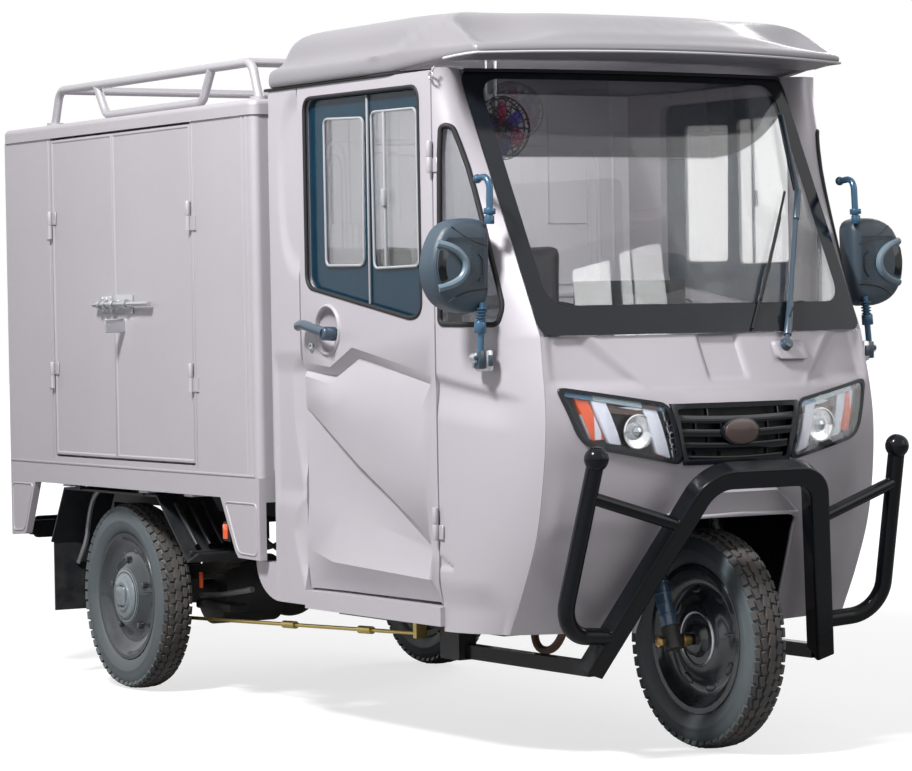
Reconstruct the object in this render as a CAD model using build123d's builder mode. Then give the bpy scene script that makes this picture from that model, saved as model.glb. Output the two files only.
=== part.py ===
from build123d import *
import os
from math import asin, cos, radians, sin, tan

os.makedirs("parts", exist_ok=True)

# The frame has X forward, Y to the left, Z up and its origin on the floor under the middle of the length

# Running gear
wheelbase = 2050
track = 968
tyre_radius = 260
tyre_width = 92
rim_radius = 167.5
rim_lip = 8
rear_overhang = 620
front_overhang = 260
overall_length = rear_overhang + wheelbase + front_overhang
rear_axle_x = rear_overhang - overall_length / 2
front_axle_x = rear_axle_x + wheelbase
rake = 20
steering_offset = 45
stub_radius = 20
front_axle_radius = 8

# Clearances
seat_gap = 0.3
seam_gap = 3
door_gap = 6

# Cargo box
lip = 5
box_rear_x = -overall_length / 2 + lip
box_length = 1541
box_front_x = box_rear_x + box_length
wheel_cover = 104
box_half = track / 2 + wheel_cover
box_wall = 25
box_floor_z = 622
box_top_z = 1551
roof_thick = 39
side_beam_height = 55
rear_strip = 318
side_opening = 871
rear_leaf = 398
opening_bottom_z = 645
leaf_thick = 25
knuckle_radius = 7
knuckle_stand = 8
rear_recess = 10
rear_post = 16

# Cab
cab_gap = 35
cab_rear_x = box_front_x + cab_gap
cab_half = 560
cab_wall = 28
quarter_width = 152
door_width = 645
door_rear_x = cab_rear_x + quarter_width
door_front_x = door_rear_x + door_width
door_thick = 38
door_bottom_z = 353
door_top_z = 1606
cab_roof_z = 1612
roof_height = 146
cab_rail_top_z = 312
cab_floor_thick = 27
sill_bottom_z = 302
nose_thick = 25
glass_thick = 6

# Chassis
rail_inset = 154
rail_y = track / 2 - rail_inset
rail_width = 50
rail_top_z = 560
rail_depth = 60
cab_rail_depth = 50


def block(x1, x2, y1, y2, z1, z2, mode=Mode.ADD):
    with Locations(((x1 + x2) / 2, (y1 + y2) / 2, (z1 + z2) / 2)):
        Box(x2 - x1, y2 - y1, z2 - z1, mode=mode)


def rod(start, end, radius, mode=Mode.ADD):
    run = Vector(*end) - Vector(*start)
    with BuildSketch(Plane(origin=start, z_dir=run)) as section:
        Circle(radius)
    extrude(section.sketch, amount=run.length, mode=mode)


def save(part, name):
    part.label = name
    export_step(part, f"parts/{name}.step")


# Wheels, with the hub's closed side outwards at the rear and open on both sides in front
def tyre_shape(x, y):
    half = tyre_width / 2
    bead = 30
    bead_top = rim_radius + rim_lip + 1
    shoulder = half - 12
    with BuildSketch(Plane.YZ.offset(x)) as section:
        with BuildLine():
            Line((y - bead, tyre_radius + rim_radius + seat_gap), (y - bead, tyre_radius + bead_top))
            ThreePointArc(
                (y - bead, tyre_radius + bead_top),
                (y - half, tyre_radius + bead_top + 34),
                (y - shoulder, 2 * tyre_radius - 9),
            )
            ThreePointArc(
                (y - shoulder, 2 * tyre_radius - 9),
                (y, 2 * tyre_radius),
                (y + shoulder, 2 * tyre_radius - 9),
            )
            ThreePointArc(
                (y + shoulder, 2 * tyre_radius - 9),
                (y + half, tyre_radius + bead_top + 34),
                (y + bead, tyre_radius + bead_top),
            )
            Line((y + bead, tyre_radius + bead_top), (y + bead, tyre_radius + rim_radius + seat_gap))
            Line(
                (y + bead, tyre_radius + rim_radius + seat_gap),
                (y - bead, tyre_radius + rim_radius + seat_gap),
            )
        make_face()
    revolve(section.sketch, axis=Axis((x, 0, tyre_radius), (0, 1, 0)))


def rim_shape(x, y, out, profile):
    points = [(y + out * along, tyre_radius + radius) for along, radius in profile]
    with BuildSketch(Plane.YZ.offset(x)) as section:
        Polygon(*points, align=None)
    revolve(section.sketch, axis=Axis((x, 0, tyre_radius), (0, 1, 0)))


lip_top = rim_radius + rim_lip
bead_seat = [
    (-35, lip_top),
    (-30.5, lip_top),
    (-30.5, rim_radius),
    (30.5, rim_radius),
    (30.5, lip_top),
    (35, lip_top),
]
stub_bore = stub_radius + seat_gap
axle_bore = front_axle_radius + seat_gap
# Columns: distance outwards from the wheel's middle plane, radius
rear_rim_profile = bead_seat + [
    (35, 160), (20, 154), (12, 118), (28, 92), (40, 78), (40, 0),
    (20, 0), (20, stub_bore), (-22, stub_bore), (-22, 62), (6, 72), (4, 116), (10, 158), (-35, 160),
]
front_rim_profile = bead_seat + [
    (35, 160), (14, 154), (4, 120), (4, 84), (24, 80), (24, 40), (44, 34), (44, axle_bore),
    (-44, axle_bore), (-44, 34), (-24, 40), (-24, 80), (-4, 84), (-4, 120), (4, 156), (-35, 160),
]

for side, out in (("right", -1), ("left", 1)):
    with BuildPart() as rear_tyre:
        tyre_shape(rear_axle_x, out * track / 2)
    save(rear_tyre.part, f"rear_tyre_{side}")
    with BuildPart() as rear_rim:
        rim_shape(rear_axle_x, out * track / 2, out, rear_rim_profile)
    save(rear_rim.part, f"rear_rim_{side}")

with BuildPart() as front_tyre:
    tyre_shape(front_axle_x, 0)
save(front_tyre.part, "front_tyre")
with BuildPart() as front_rim:
    rim_shape(front_axle_x, 0, 1, front_rim_profile)
save(front_rim.part, "front_rim")

# Rear axle with brake plates, spring pads, gear case and motor
axle_tube_radius = 32
pad_top_z = tyre_radius + axle_tube_radius + 8
plate_radius = 95
motor_radius = 95
with BuildPart() as rear_axle:
    inner = track / 2 - 26
    rod((rear_axle_x, -inner, tyre_radius), (rear_axle_x, inner, tyre_radius), axle_tube_radius)
    for out in (-1, 1):
        hub_y = out * track / 2
        hub = Vector(rear_axle_x, hub_y, tyre_radius)
        rod(tuple(hub - Vector(0, out * 60, 0)), tuple(hub - Vector(0, out * 26, 0)), plate_radius)
        rod(tuple(hub - Vector(0, out * 30, 0)), tuple(hub + Vector(0, out * 19, 0)), stub_radius)
        pad_y = out * rail_y
        block(rear_axle_x - 40, rear_axle_x + 40, pad_y - 30, pad_y + 30, tyre_radius, pad_top_z - seat_gap)
        lever_y = out * (track / 2 - 70)
        block(rear_axle_x - 8, rear_axle_x + 8, lever_y - 10, lever_y + 10, tyre_radius - 75, tyre_radius)
    with Locations((rear_axle_x, 0, tyre_radius)):
        Sphere(88)
    rod((rear_axle_x, -60, tyre_radius), (rear_axle_x, -250, tyre_radius), motor_radius)
save(rear_axle.part, "rear_axle")

# Leaf springs on the axle pads, five leaves to a pack
leaf_thickness = 8
leaf_half_lengths = [430, 360, 280, 200, 130]
spring_width = 50
eye_radius = 16
main_leaf_z = pad_top_z + leaf_thickness * (len(leaf_half_lengths) - 0.5)
eye_rise = 79
leaf_radius = (leaf_half_lengths[0] ** 2 + eye_rise**2) / (2 * eye_rise)
eye_z = main_leaf_z + eye_rise
with BuildPart() as leaf_springs:
    for out in (-1, 1):
        with BuildSketch(Plane.XZ.offset(-out * rail_y - spring_width / 2)):
            for index, half in enumerate(leaf_half_lengths):
                middle_radius = leaf_radius + index * leaf_thickness
                swing = asin(half / middle_radius)
                top_z = main_leaf_z + leaf_radius
                near = middle_radius - leaf_thickness / 2
                far = middle_radius + leaf_thickness / 2
                with BuildLine():
                    near_start = (rear_axle_x - near * sin(swing), top_z - near * cos(swing))
                    near_end = (rear_axle_x + near * sin(swing), top_z - near * cos(swing))
                    far_start = (rear_axle_x - far * sin(swing), top_z - far * cos(swing))
                    far_end = (rear_axle_x + far * sin(swing), top_z - far * cos(swing))
                    ThreePointArc(near_start, (rear_axle_x, top_z - near), near_end)
                    Line(near_end, far_end)
                    ThreePointArc(far_end, (rear_axle_x, top_z - far), far_start)
                    Line(far_start, near_start)
                make_face()
            with Locations(
                (rear_axle_x - leaf_half_lengths[0], eye_z), (rear_axle_x + leaf_half_lengths[0], eye_z)
            ):
                Circle(eye_radius)
        extrude(amount=spring_width)
        block(
            rear_axle_x - 35,
            rear_axle_x + 35,
            out * rail_y - 29,
            out * rail_y + 29,
            pad_top_z,
            main_leaf_z + 14,
        )
save(leaf_springs.part, "leaf_springs")

# Chassis, two rails that step down under the cab, with cross members, spring hangers and guard brackets
rail_bottom_z = rail_top_z - rail_depth
cab_rail_bottom_z = cab_rail_top_z - cab_rail_depth
rail_rear_x = box_rear_x + 26
rail_front_x = door_front_x - 42
step_rear_x = box_front_x - 130
step_front_x = cab_rear_x - 12
bracket_rear_x = door_rear_x + 308
bracket_front_x = bracket_rear_x + 88
bracket_bottom_z = 188
battery_rear_x = rear_axle_x + 480
battery_front_x = battery_rear_x + 380
tow_x = box_rear_x + 11
cross_xs = [rail_rear_x + 30, rear_axle_x - 240, rear_axle_x + 250, battery_rear_x + 40, battery_front_x - 40]
cab_cross_xs = [step_front_x + 80, bracket_rear_x + 44, rail_front_x - 30]
with BuildPart() as chassis_frame:
    with BuildSketch(Plane.XZ.offset(-rail_y - rail_width / 2)):
        Polygon(
            (rail_rear_x, rail_top_z),
            (step_rear_x, rail_top_z),
            (step_front_x, cab_rail_top_z),
            (rail_front_x, cab_rail_top_z),
            (rail_front_x, cab_rail_bottom_z),
            (step_front_x - 30, cab_rail_bottom_z),
            (step_rear_x - 30, rail_bottom_z),
            (rail_rear_x, rail_bottom_z),
            align=None,
        )
    extrude(amount=rail_width)
    for end in (-1, 1):
        eye_x = rear_axle_x + end * leaf_half_lengths[0]
        block(
            eye_x - 22, eye_x + 22, rail_y - 25, rail_y + 25, eye_z + eye_radius + seat_gap, rail_bottom_z
        )
    block(
        bracket_rear_x, bracket_front_x, rail_y - 25, rail_y + 25, bracket_bottom_z, cab_rail_bottom_z
    )
    mirror(about=Plane.XZ)
    for x in cross_xs:
        block(x - 20, x + 20, -rail_y, rail_y, rail_bottom_z + 5, rail_top_z - 5)
    for x in cab_cross_xs:
        block(x - 20, x + 20, -rail_y, rail_y, cab_rail_bottom_z + 3, cab_rail_top_z - 3)
    block(tow_x - 13, cross_xs[0], -40, 40, rail_bottom_z + 5, rail_bottom_z + 17)
    with Locations((tow_x, 0, rail_bottom_z + 11)):
        Cylinder(6.5, 30, mode=Mode.SUBTRACT)
save(chassis_frame.part, "chassis_frame")

# Battery case, one plain block hung between the rails
battery_half = rail_y - 60
battery_bottom_z = 300
with BuildPart() as battery_pack:
    block(
        battery_rear_x,
        battery_front_x,
        -battery_half,
        battery_half,
        battery_bottom_z,
        rail_bottom_z + 5 - seat_gap,
    )
    fillet(battery_pack.edges().filter_by(Axis.Z), radius=20)
save(battery_pack.part, "battery_pack")

# Cargo floor with side beams, cross beams and corner gussets down to the wheels
floor_plate = 20
beam_width = 40
gusset_thick = 20
beam_bottom_z = box_floor_z - side_beam_height
tie_hole_radius = 5.5
tie_spacing_x = 1200
tie_spacing_y = 900
box_middle_x = (box_rear_x + box_front_x) / 2
# Columns: X from the box's rear corner, Z
rear_gusset = [(0, beam_bottom_z), (170, beam_bottom_z), (100, 420), (90, 412), (4, 406), (0, 410)]
# Columns: X back from the box's front corner, Z
front_gusset = [(0, beam_bottom_z), (-214, beam_bottom_z), (-136, 430), (-120, 414), (0, 412)]
with BuildPart() as cargo_floor:
    block(box_rear_x, box_front_x, -box_half, box_half, box_floor_z - floor_plate, box_floor_z - seat_gap)
    for x in cross_xs + [box_front_x - 25]:
        block(x - 25, x + 25, -box_half + 5, box_half - 5, rail_top_z + seat_gap, box_floor_z - floor_plate)
    for out in (-1, 1):
        edge = out * (box_half - beam_width / 2)
        block(
            box_rear_x,
            box_front_x,
            edge - beam_width / 2,
            edge + beam_width / 2,
            beam_bottom_z,
            box_floor_z - floor_plate,
        )
        with BuildSketch(Plane.XZ.offset(-out * (box_half - gusset_thick / 2) - gusset_thick / 2)):
            Polygon(*[(box_rear_x + x, z) for x, z in rear_gusset], align=None)
            Polygon(*[(box_front_x + x, z) for x, z in front_gusset], align=None)
        extrude(amount=gusset_thick)
    with Locations((box_middle_x, 0, box_floor_z - floor_plate / 2)):
        with GridLocations(tie_spacing_x, tie_spacing_y, 2, 2):
            Cylinder(tie_hole_radius, floor_plate * 2, mode=Mode.SUBTRACT)
save(cargo_floor.part, "cargo_floor")

# Cargo walls: front wall, plain left wall, right wall with its door opening, rear posts and door stops
# Columns: lower end, middle and upper end of a hinge in Z; the wall carries the lower half
hinge_spans = [(840, 877, 915), (1265, 1304, 1343)]
strap_length = 34
strap_thick = 4
leaf_axis_y = box_half + knuckle_stand
rear_hinge_y = box_half - rear_post - 10
rear_axis_x = box_rear_x + rear_recess - knuckle_stand
leaf_hinge_rear_x = box_rear_x + rear_strip
leaf_hinge_front_x = leaf_hinge_rear_x + side_opening
wall_top_z = box_top_z - seat_gap
stop_depth = 18
stop_width = 40
stop_outer_y = box_half - leaf_thick - door_gap
rear_door_outer_x = box_rear_x + rear_recess
rear_stop_x = rear_door_outer_x + leaf_thick + door_gap
rear_inner_half = box_half - rear_post
with BuildPart() as cargo_walls:
    block(box_rear_x, box_front_x, -box_half, box_half, box_floor_z, wall_top_z)
    block(
        box_rear_x - 1,
        box_front_x - box_wall,
        -box_half + box_wall,
        box_half - box_wall,
        box_floor_z - 1,
        wall_top_z + 1,
        mode=Mode.SUBTRACT,
    )
    fillet(cargo_walls.edges().filter_by(Axis.Z).group_by(Axis.X)[-1], radius=20)
    block(
        leaf_hinge_rear_x,
        leaf_hinge_front_x,
        -box_half - 1,
        -box_half + box_wall + 1,
        opening_bottom_z,
        wall_top_z + 1,
        mode=Mode.SUBTRACT,
    )
    for x1, x2 in (
        (leaf_hinge_rear_x - stop_width / 2, leaf_hinge_rear_x + stop_width / 2),
        (leaf_hinge_front_x - stop_width / 2, leaf_hinge_front_x + stop_width / 2),
    ):
        block(x1, x2, -stop_outer_y, -stop_outer_y + stop_depth, box_floor_z, wall_top_z)
    stop_x1 = leaf_hinge_rear_x - stop_width / 2
    stop_x2 = leaf_hinge_front_x + stop_width / 2
    block(stop_x1, stop_x2, -stop_outer_y, -stop_outer_y + stop_depth, wall_top_z - 35, wall_top_z)
    block(stop_x1, stop_x2, -stop_outer_y, -stop_outer_y + stop_depth, box_floor_z, opening_bottom_z + 20)
    for x1, x2 in ((stop_x1, leaf_hinge_rear_x), (leaf_hinge_front_x, stop_x2)):
        block(x1, x2, -box_half + box_wall / 2, -stop_outer_y + stop_depth / 2, box_floor_z, wall_top_z)
    block(stop_x1, stop_x2, -box_half + box_wall / 2, -stop_outer_y + 1, box_floor_z, opening_bottom_z)
    for out in (-1, 1):
        block(
            rear_stop_x,
            rear_stop_x + stop_depth,
            min(out * rear_inner_half, out * (rear_inner_half - stop_width)),
            max(out * rear_inner_half, out * (rear_inner_half - stop_width)),
            box_floor_z,
            wall_top_z,
        )
        wall_inner = out * (box_half - box_wall)
        post_inner = out * rear_inner_half
        block(
            box_rear_x - 1,
            rear_stop_x,
            min(wall_inner, post_inner),
            max(wall_inner, post_inner),
            box_floor_z - 1,
            wall_top_z + 1,
            mode=Mode.SUBTRACT,
        )
    for low_z, high_z in ((box_floor_z, opening_bottom_z + 20), (wall_top_z - 35, wall_top_z)):
        block(rear_stop_x, rear_stop_x + stop_depth, -rear_inner_half, rear_inner_half, low_z, high_z)
    block(box_rear_x, rear_stop_x, -rear_inner_half, rear_inner_half, box_floor_z, opening_bottom_z)
    for low_z, mid_z, high_z in hinge_spans:
        for hinge_x, toward in ((leaf_hinge_rear_x, 1), (leaf_hinge_front_x, -1)):
            pin_x = hinge_x + toward * door_gap / 2
            strap_x = pin_x - toward * strap_length
            rod((pin_x, -leaf_axis_y, low_z), (pin_x, -leaf_axis_y, mid_z), knuckle_radius)
            block(
                min(pin_x, strap_x), max(pin_x, strap_x), -box_half - strap_thick, -box_half + 2, low_z, mid_z
            )
        for out in (-1, 1):
            pin_y = out * rear_hinge_y
            post_y = out * (rear_inner_half + 2)
            rod((rear_axis_x, pin_y, low_z), (rear_axis_x, pin_y, mid_z), knuckle_radius - 1)
            block(rear_axis_x - 4, rear_axis_x + 4, min(pin_y, post_y), max(pin_y, post_y), low_z, mid_z)
save(cargo_walls.part, "cargo_walls")

# Cargo roof, a shallow pressed tray with round edges
with BuildPart() as cargo_roof:
    block(
        box_rear_x - lip,
        box_front_x + lip,
        -box_half - lip,
        box_half + lip,
        box_top_z,
        box_top_z + roof_thick,
    )
    fillet(cargo_roof.edges().filter_by(Axis.Z), radius=25)
    fillet(cargo_roof.faces().sort_by(Axis.Z)[-1].edges(), radius=14)
save(cargo_roof.part, "cargo_roof")

# Roof rack of bent round tube with a low rail inside each side hoop
roof_top_z = box_top_z + roof_thick
rack_y = box_half - 58
rack_radius = 12
rack_height = 102
rack_top_z = roof_top_z + rack_height
rack_low_z = roof_top_z + 14
foot_height = 7
rack_rear_x = rear_axle_x - 349
rack_front_x = rear_axle_x + 822
foot_lean = 36
with BuildPart() as roof_rack:
    for out in (-1, 1):
        # The low rail is the second path
        for points in (
            [
                (rack_rear_x - foot_lean, roof_top_z + foot_height),
                (rack_rear_x, rack_top_z),
                (rack_front_x, rack_top_z),
                (rack_front_x + foot_lean, roof_top_z + foot_height),
            ],
            [
                (rack_rear_x + 245, rack_top_z),
                (rack_rear_x + 306, rack_low_z),
                (rack_front_x - 280, rack_low_z),
                (rack_front_x - 224, rack_top_z),
            ],
        ):
            with BuildLine(Plane.XZ.offset(-out * rack_y)) as rack_path:
                FilletPolyline(*points, radius=42)
            with BuildSketch(Plane(origin=rack_path.line @ 0, z_dir=rack_path.line % 0)):
                Circle(rack_radius)
            sweep(path=rack_path.line)
        for x in (rack_rear_x - foot_lean, rack_front_x + foot_lean):
            rod((x, out * rack_y, roof_top_z + seat_gap), (x, out * rack_y, roof_top_z + foot_height + 4), 24)
    for x in (rack_rear_x + 16, rack_front_x - 16):
        rod((x, -rack_y, rack_top_z), (x, rack_y, rack_top_z), rack_radius)
save(roof_rack.part, "roof_rack")

# Side door leaves of the cargo box, hinged at their outer edges, the front one carrying the bolt
leaf_bottom_z = opening_bottom_z + door_gap
leaf_top_z = box_top_z - door_gap
leaf_seam_x = leaf_hinge_rear_x + rear_leaf
bolt_z = 1075
bolt_length = 341
bolt_reach = 96
bolt_radius = 8
bolt_gap = 1.2
bolt_y = -box_half - 16
for name, hinge_x, free_x in (
    ("side_leaf_rear", leaf_hinge_rear_x, leaf_seam_x - door_gap / 2),
    ("side_leaf_front", leaf_hinge_front_x, leaf_seam_x + door_gap / 2),
):
    toward = 1 if free_x > hinge_x else -1
    edge_x = hinge_x + toward * door_gap
    with BuildPart() as side_leaf:
        block(
            min(edge_x, free_x),
            max(edge_x, free_x),
            -box_half,
            -box_half + leaf_thick,
            leaf_bottom_z,
            leaf_top_z,
        )
        for low_z, mid_z, high_z in hinge_spans:
            pin_x = hinge_x + toward * door_gap / 2
            strap_x = pin_x + toward * strap_length
            start_z = mid_z + seat_gap
            rod((pin_x, -leaf_axis_y, start_z), (pin_x, -leaf_axis_y, high_z), knuckle_radius)
            block(
                min(pin_x, strap_x),
                max(pin_x, strap_x),
                -box_half - strap_thick,
                -box_half + 2,
                start_z,
                high_z,
            )
        if name == "side_leaf_front":
            plate_x = leaf_seam_x + 8
            block(plate_x, plate_x + 110, -box_half - 4, -box_half + 2, bolt_z - 26, bolt_z + 26)
            bolt_end_x = leaf_seam_x - bolt_reach + bolt_length
            rod((leaf_seam_x, bolt_y, bolt_z), (bolt_end_x, bolt_y, bolt_z), bolt_radius)
            for x in (plate_x + 15, plate_x + 95):
                block(x - 8, x + 8, -box_half - 24, -box_half + 2, bolt_z - 14, bolt_z + 14)
            handle_x = plate_x + 50
            rod((handle_x, bolt_y, bolt_z), (handle_x, bolt_y, bolt_z + 96), 6)
            block(handle_x - 14, handle_x + 14, bolt_y - 4, bolt_y + 4, bolt_z - 90, bolt_z)
        else:
            # Keeper that holds the end of the bolt beyond the seam
            tip_x = leaf_seam_x - bolt_reach
            rod((tip_x, bolt_y, bolt_z), (leaf_seam_x - bolt_gap, bolt_y, bolt_z), bolt_radius)
            for x in (leaf_seam_x - 58, leaf_seam_x - 22):
                block(x - 8, x + 8, -box_half - 24, -box_half + 2, bolt_z - 14, bolt_z + 14)
    save(side_leaf.part, name)

# Rear doors of the cargo box, one each side, with a lock rod and handle on the right one
for side, out in (("right", -1), ("left", 1)):
    with BuildPart() as rear_door:
        hinge_edge = out * (rear_hinge_y + 4)
        seam_edge = out * door_gap / 2
        block(
            rear_door_outer_x,
            rear_door_outer_x + leaf_thick,
            min(hinge_edge, seam_edge),
            max(hinge_edge, seam_edge),
            leaf_bottom_z,
            leaf_top_z,
        )
        for low_z, mid_z, high_z in hinge_spans:
            pin_y = out * rear_hinge_y
            strap_y = out * (rear_hinge_y - strap_length)
            start_z = mid_z + seat_gap
            rod((rear_axis_x, pin_y, start_z), (rear_axis_x, pin_y, high_z), knuckle_radius - 1)
            block(
                rear_door_outer_x - strap_thick,
                rear_door_outer_x + 2,
                min(pin_y, strap_y),
                max(pin_y, strap_y),
                start_z,
                high_z,
            )
        if side == "right":
            block(
                rear_door_outer_x - 9, rear_door_outer_x + 2, -60, -36, leaf_bottom_z + 30, leaf_top_z - 30
            )
            block(rear_door_outer_x - 13, rear_door_outer_x + 2, -190, -36, 1000, 1026)
    save(rear_door.part, f"rear_door_{side}")

# Rear bar under the floor, carried by the rails, with a lamp at each end
bar_bottom_z = 405
bar_top_z = 447
bar_half = box_half - 43
bar_rear_x = box_rear_x + 22
with BuildPart() as rear_bar:
    block(bar_rear_x, bar_rear_x + 28, -bar_half, bar_half, bar_bottom_z, bar_top_z)
    for out in (-1, 1):
        block(
            rail_rear_x + 4,
            rail_rear_x + 18,
            out * rail_y - 20,
            out * rail_y + 20,
            bar_top_z - 10,
            rail_bottom_z - seat_gap,
        )
save(rear_bar.part, "rear_bar")
lamp_length = 150
lamp_height = 64
with BuildPart() as tail_lamps:
    for out in (-1, 1):
        lamp_y = out * (bar_half - 20 - lamp_length / 2)
        lamp_z = (bar_bottom_z + bar_top_z) / 2
        block(
            bar_rear_x - 22,
            bar_rear_x - seat_gap,
            lamp_y - lamp_length / 2,
            lamp_y + lamp_length / 2,
            lamp_z - lamp_height / 2,
            lamp_z + lamp_height / 2,
        )
    fillet(tail_lamps.edges().filter_by(Axis.X), radius=12)
save(tail_lamps.part, "tail_lamps")

# Mudguards over the rear wheels, hung under the side beams, with flaps behind the wheels
guard_sheet = 6
guard_inner_y = track / 2 - tyre_width / 2 - 38
flap_bottom_z = 195
guard_top_z = rail_top_z - 2
# Columns: X from the rear axle, Z of the sheet's upper side
guard_outline = [(-395, 400), (-300, guard_top_z), (290, guard_top_z), (470, 390), (535, 415)]
with BuildPart() as mudguards:
    for out in (-1, 1):
        guard_middle = out * (guard_inner_y + box_half - gusset_thick - 4) / 2
        guard_width = box_half - gusset_thick - 4 - guard_inner_y
        with BuildSketch(Plane.XZ.offset(-guard_middle - guard_width / 2)):
            with BuildLine():
                Polyline(*[(rear_axle_x + x, z - guard_sheet) for x, z in guard_outline])
            trace(line_width=guard_sheet)
        extrude(amount=guard_width)
        block(
            rear_axle_x - 401,
            rear_axle_x - 395,
            guard_middle - guard_width / 2 + 10,
            guard_middle + guard_width / 2 - 15,
            flap_bottom_z,
            guard_outline[0][1],
        )
        for x in (-200, 200):
            block(
                rear_axle_x + x - 15,
                rear_axle_x + x + 15,
                out * (box_half - beam_width + 12) - 8,
                out * (box_half - beam_width + 12) + 8,
                guard_top_z - guard_sheet,
                beam_bottom_z - seat_gap,
            )
save(mudguards.part, "mudguards")

# Brake rod from the right rear brake lever to the pedal bracket under the cab
rod_y = -(track / 2 - 70)
with BuildPart() as brake_rod:
    rod_start = (rear_axle_x + 8.3, rod_y, tyre_radius - 62)
    rod_end = (door_rear_x + 250, rod_y + 45, cab_rail_bottom_z - 18)
    rod(rod_start, rod_end, 5)
    run = Vector(*rod_end) - Vector(*rod_start)
    for share in (0.5, 0.78):
        start = Vector(*rod_start) + run * share
        end = start + run.normalized() * 60
        rod(tuple(start), tuple(end), 10)
    block(
        rod_end[0] - 8, rod_end[0] + 8, rod_end[1] - 24, rod_end[1] + 6, rod_end[2] - 10, cab_rail_top_z
    )
save(brake_rod.part, "brake_rod")

# Points on the raked steering axis, by the distance along it from axle height
axis_x = front_axle_x - steering_offset
rake_slope = tan(radians(rake))
column_radius = 20


def along_axis(distance, ahead=0.0, y=0.0):
    return (
        axis_x + ahead * cos(radians(rake)) - distance * sin(radians(rake)),
        y,
        tyre_radius + ahead * sin(radians(rake)) + distance * cos(radians(rake)),
    )


# Cab floor with a head tube on its post, sills under the doors and foot wells beside the wheel arch
liner_half = 300
liner_rear_x = rail_front_x + seat_gap
cab_floor_z = cab_rail_top_z + seat_gap
floor_top_z = cab_floor_z + cab_floor_thick
floor_half = cab_half - cab_wall - seat_gap
head_tube_radius = 32
head_tube_start = 402
head_tube_end = 490
liner_top_z = 612
with BuildPart() as cab_floor:
    block(cab_rear_x, rail_front_x, -floor_half, floor_half, cab_floor_z, floor_top_z)
    with BuildSketch(Plane.XZ.offset(-25)):
        Polygon(
            (liner_rear_x - 56, floor_top_z - 5),
            (liner_rear_x - 6, floor_top_z - 5),
            (liner_rear_x - 6, liner_top_z + 12),
            (along_axis(head_tube_start + 20)[0], liner_top_z + 12),
            (along_axis(head_tube_start + 40)[0], liner_top_z + 62),
            (liner_rear_x - 56, liner_top_z + 62),
            align=None,
        )
    extrude(amount=50)
    rod(along_axis(head_tube_start), along_axis(head_tube_end), head_tube_radius)
    rod(
        along_axis(head_tube_start - 60),
        along_axis(head_tube_end + 60),
        column_radius + seat_gap,
        mode=Mode.SUBTRACT,
    )
    for out in (-1, 1):
        inner_y = out * (floor_half - 30)
        outer_y = out * cab_half
        block(
            door_rear_x - door_gap + seat_gap,
            door_front_x + door_gap - seat_gap,
            min(inner_y, outer_y),
            max(inner_y, outer_y),
            sill_bottom_z,
            door_bottom_z - door_gap,
        )
        well = out * (liner_half + seat_gap)
        well_end = out * (cab_half - 130)
        block(
            rail_front_x,
            door_front_x + 130,
            min(well, well_end),
            max(well, well_end),
            cab_floor_z,
            floor_top_z,
        )
save(cab_floor.part, "cab_floor")

# Cab rear wall with three pressed ribs
cab_wall_top_z = cab_roof_z - seat_gap
back_wall_thick = 20
with BuildPart() as cab_rear_wall:
    wall_low_z = floor_top_z + seat_gap
    block(cab_rear_x, cab_rear_x + back_wall_thick, -floor_half, floor_half, wall_low_z, cab_wall_top_z)
    for y in (-330, 0, 330):
        block(cab_rear_x + back_wall_thick - 2, cab_rear_x + back_wall_thick + 8, y - 60, y + 60, 1270, 1560)
save(cab_rear_wall.part, "cab_rear_wall")

# Quarter panels behind the doors, with a tail that sweeps back under the box corner
quarter_bottom_z = 310
tail_top_z = 408
tail_back = 108
with BuildPart() as quarter_panels:
    with BuildSketch(Plane.XZ.offset(cab_half)):
        with BuildLine():
            Polyline(
                (cab_rear_x, cab_wall_top_z),
                (door_rear_x - door_gap, cab_wall_top_z),
                (door_rear_x - door_gap, quarter_bottom_z),
                (cab_rear_x + 20, quarter_bottom_z),
            )
            ThreePointArc(
                (cab_rear_x + 20, quarter_bottom_z),
                (cab_rear_x - 64, quarter_bottom_z + 34),
                (cab_rear_x - tail_back, tail_top_z),
            )
            Polyline(
                (cab_rear_x - tail_back, tail_top_z),
                (cab_rear_x, tail_top_z),
                (cab_rear_x, cab_wall_top_z),
            )
        make_face()
    extrude(amount=-cab_wall)
    mirror(about=Plane.XZ)
save(quarter_panels.part, "quarter_panels")

# Nose sections
# Columns: Z, X of the seam from the front axle, Y of the seam, X of the middle from the front axle
nose_sections = [
    (290, -102, 483, 16),
    (400, -42, 481, 70),
    (520, 10, 478, 112),
    (660, 38, 475, 134),
    (800, 44, 470, 140),
    (979, 14, 462, 62),
]
# Windshield sections, in the same columns
glass_sections = [
    (979 + seat_gap, 14, 462, 62),
    (cab_wall_top_z, -309, 473, -262),
]
seam_x_share = 0.8
seam_y_share = 0.6


def bowed_shell(sections, outward, inward, mode=Mode.ADD):
    outlines = []
    for z, seam_x, seam_y, middle_x in sections:
        front_x = front_axle_x + seam_x + seam_x_share * outward
        back_x = front_axle_x + seam_x + seam_x_share * inward
        front_y = seam_y + seam_y_share * outward
        back_y = seam_y + seam_y_share * inward
        with BuildSketch(Plane.XY.offset(z)) as outline:
            with BuildLine():
                ThreePointArc((front_x, -front_y), (front_axle_x + middle_x + outward, 0), (front_x, front_y))
                Line((front_x, front_y), (back_x, back_y))
                ThreePointArc((back_x, back_y), (front_axle_x + middle_x + inward, 0), (back_x, -back_y))
                Line((back_x, -back_y), (front_x, -front_y))
            make_face()
        outlines.append(outline.sketch)
    loft(outlines, ruled=True, mode=mode)


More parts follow.
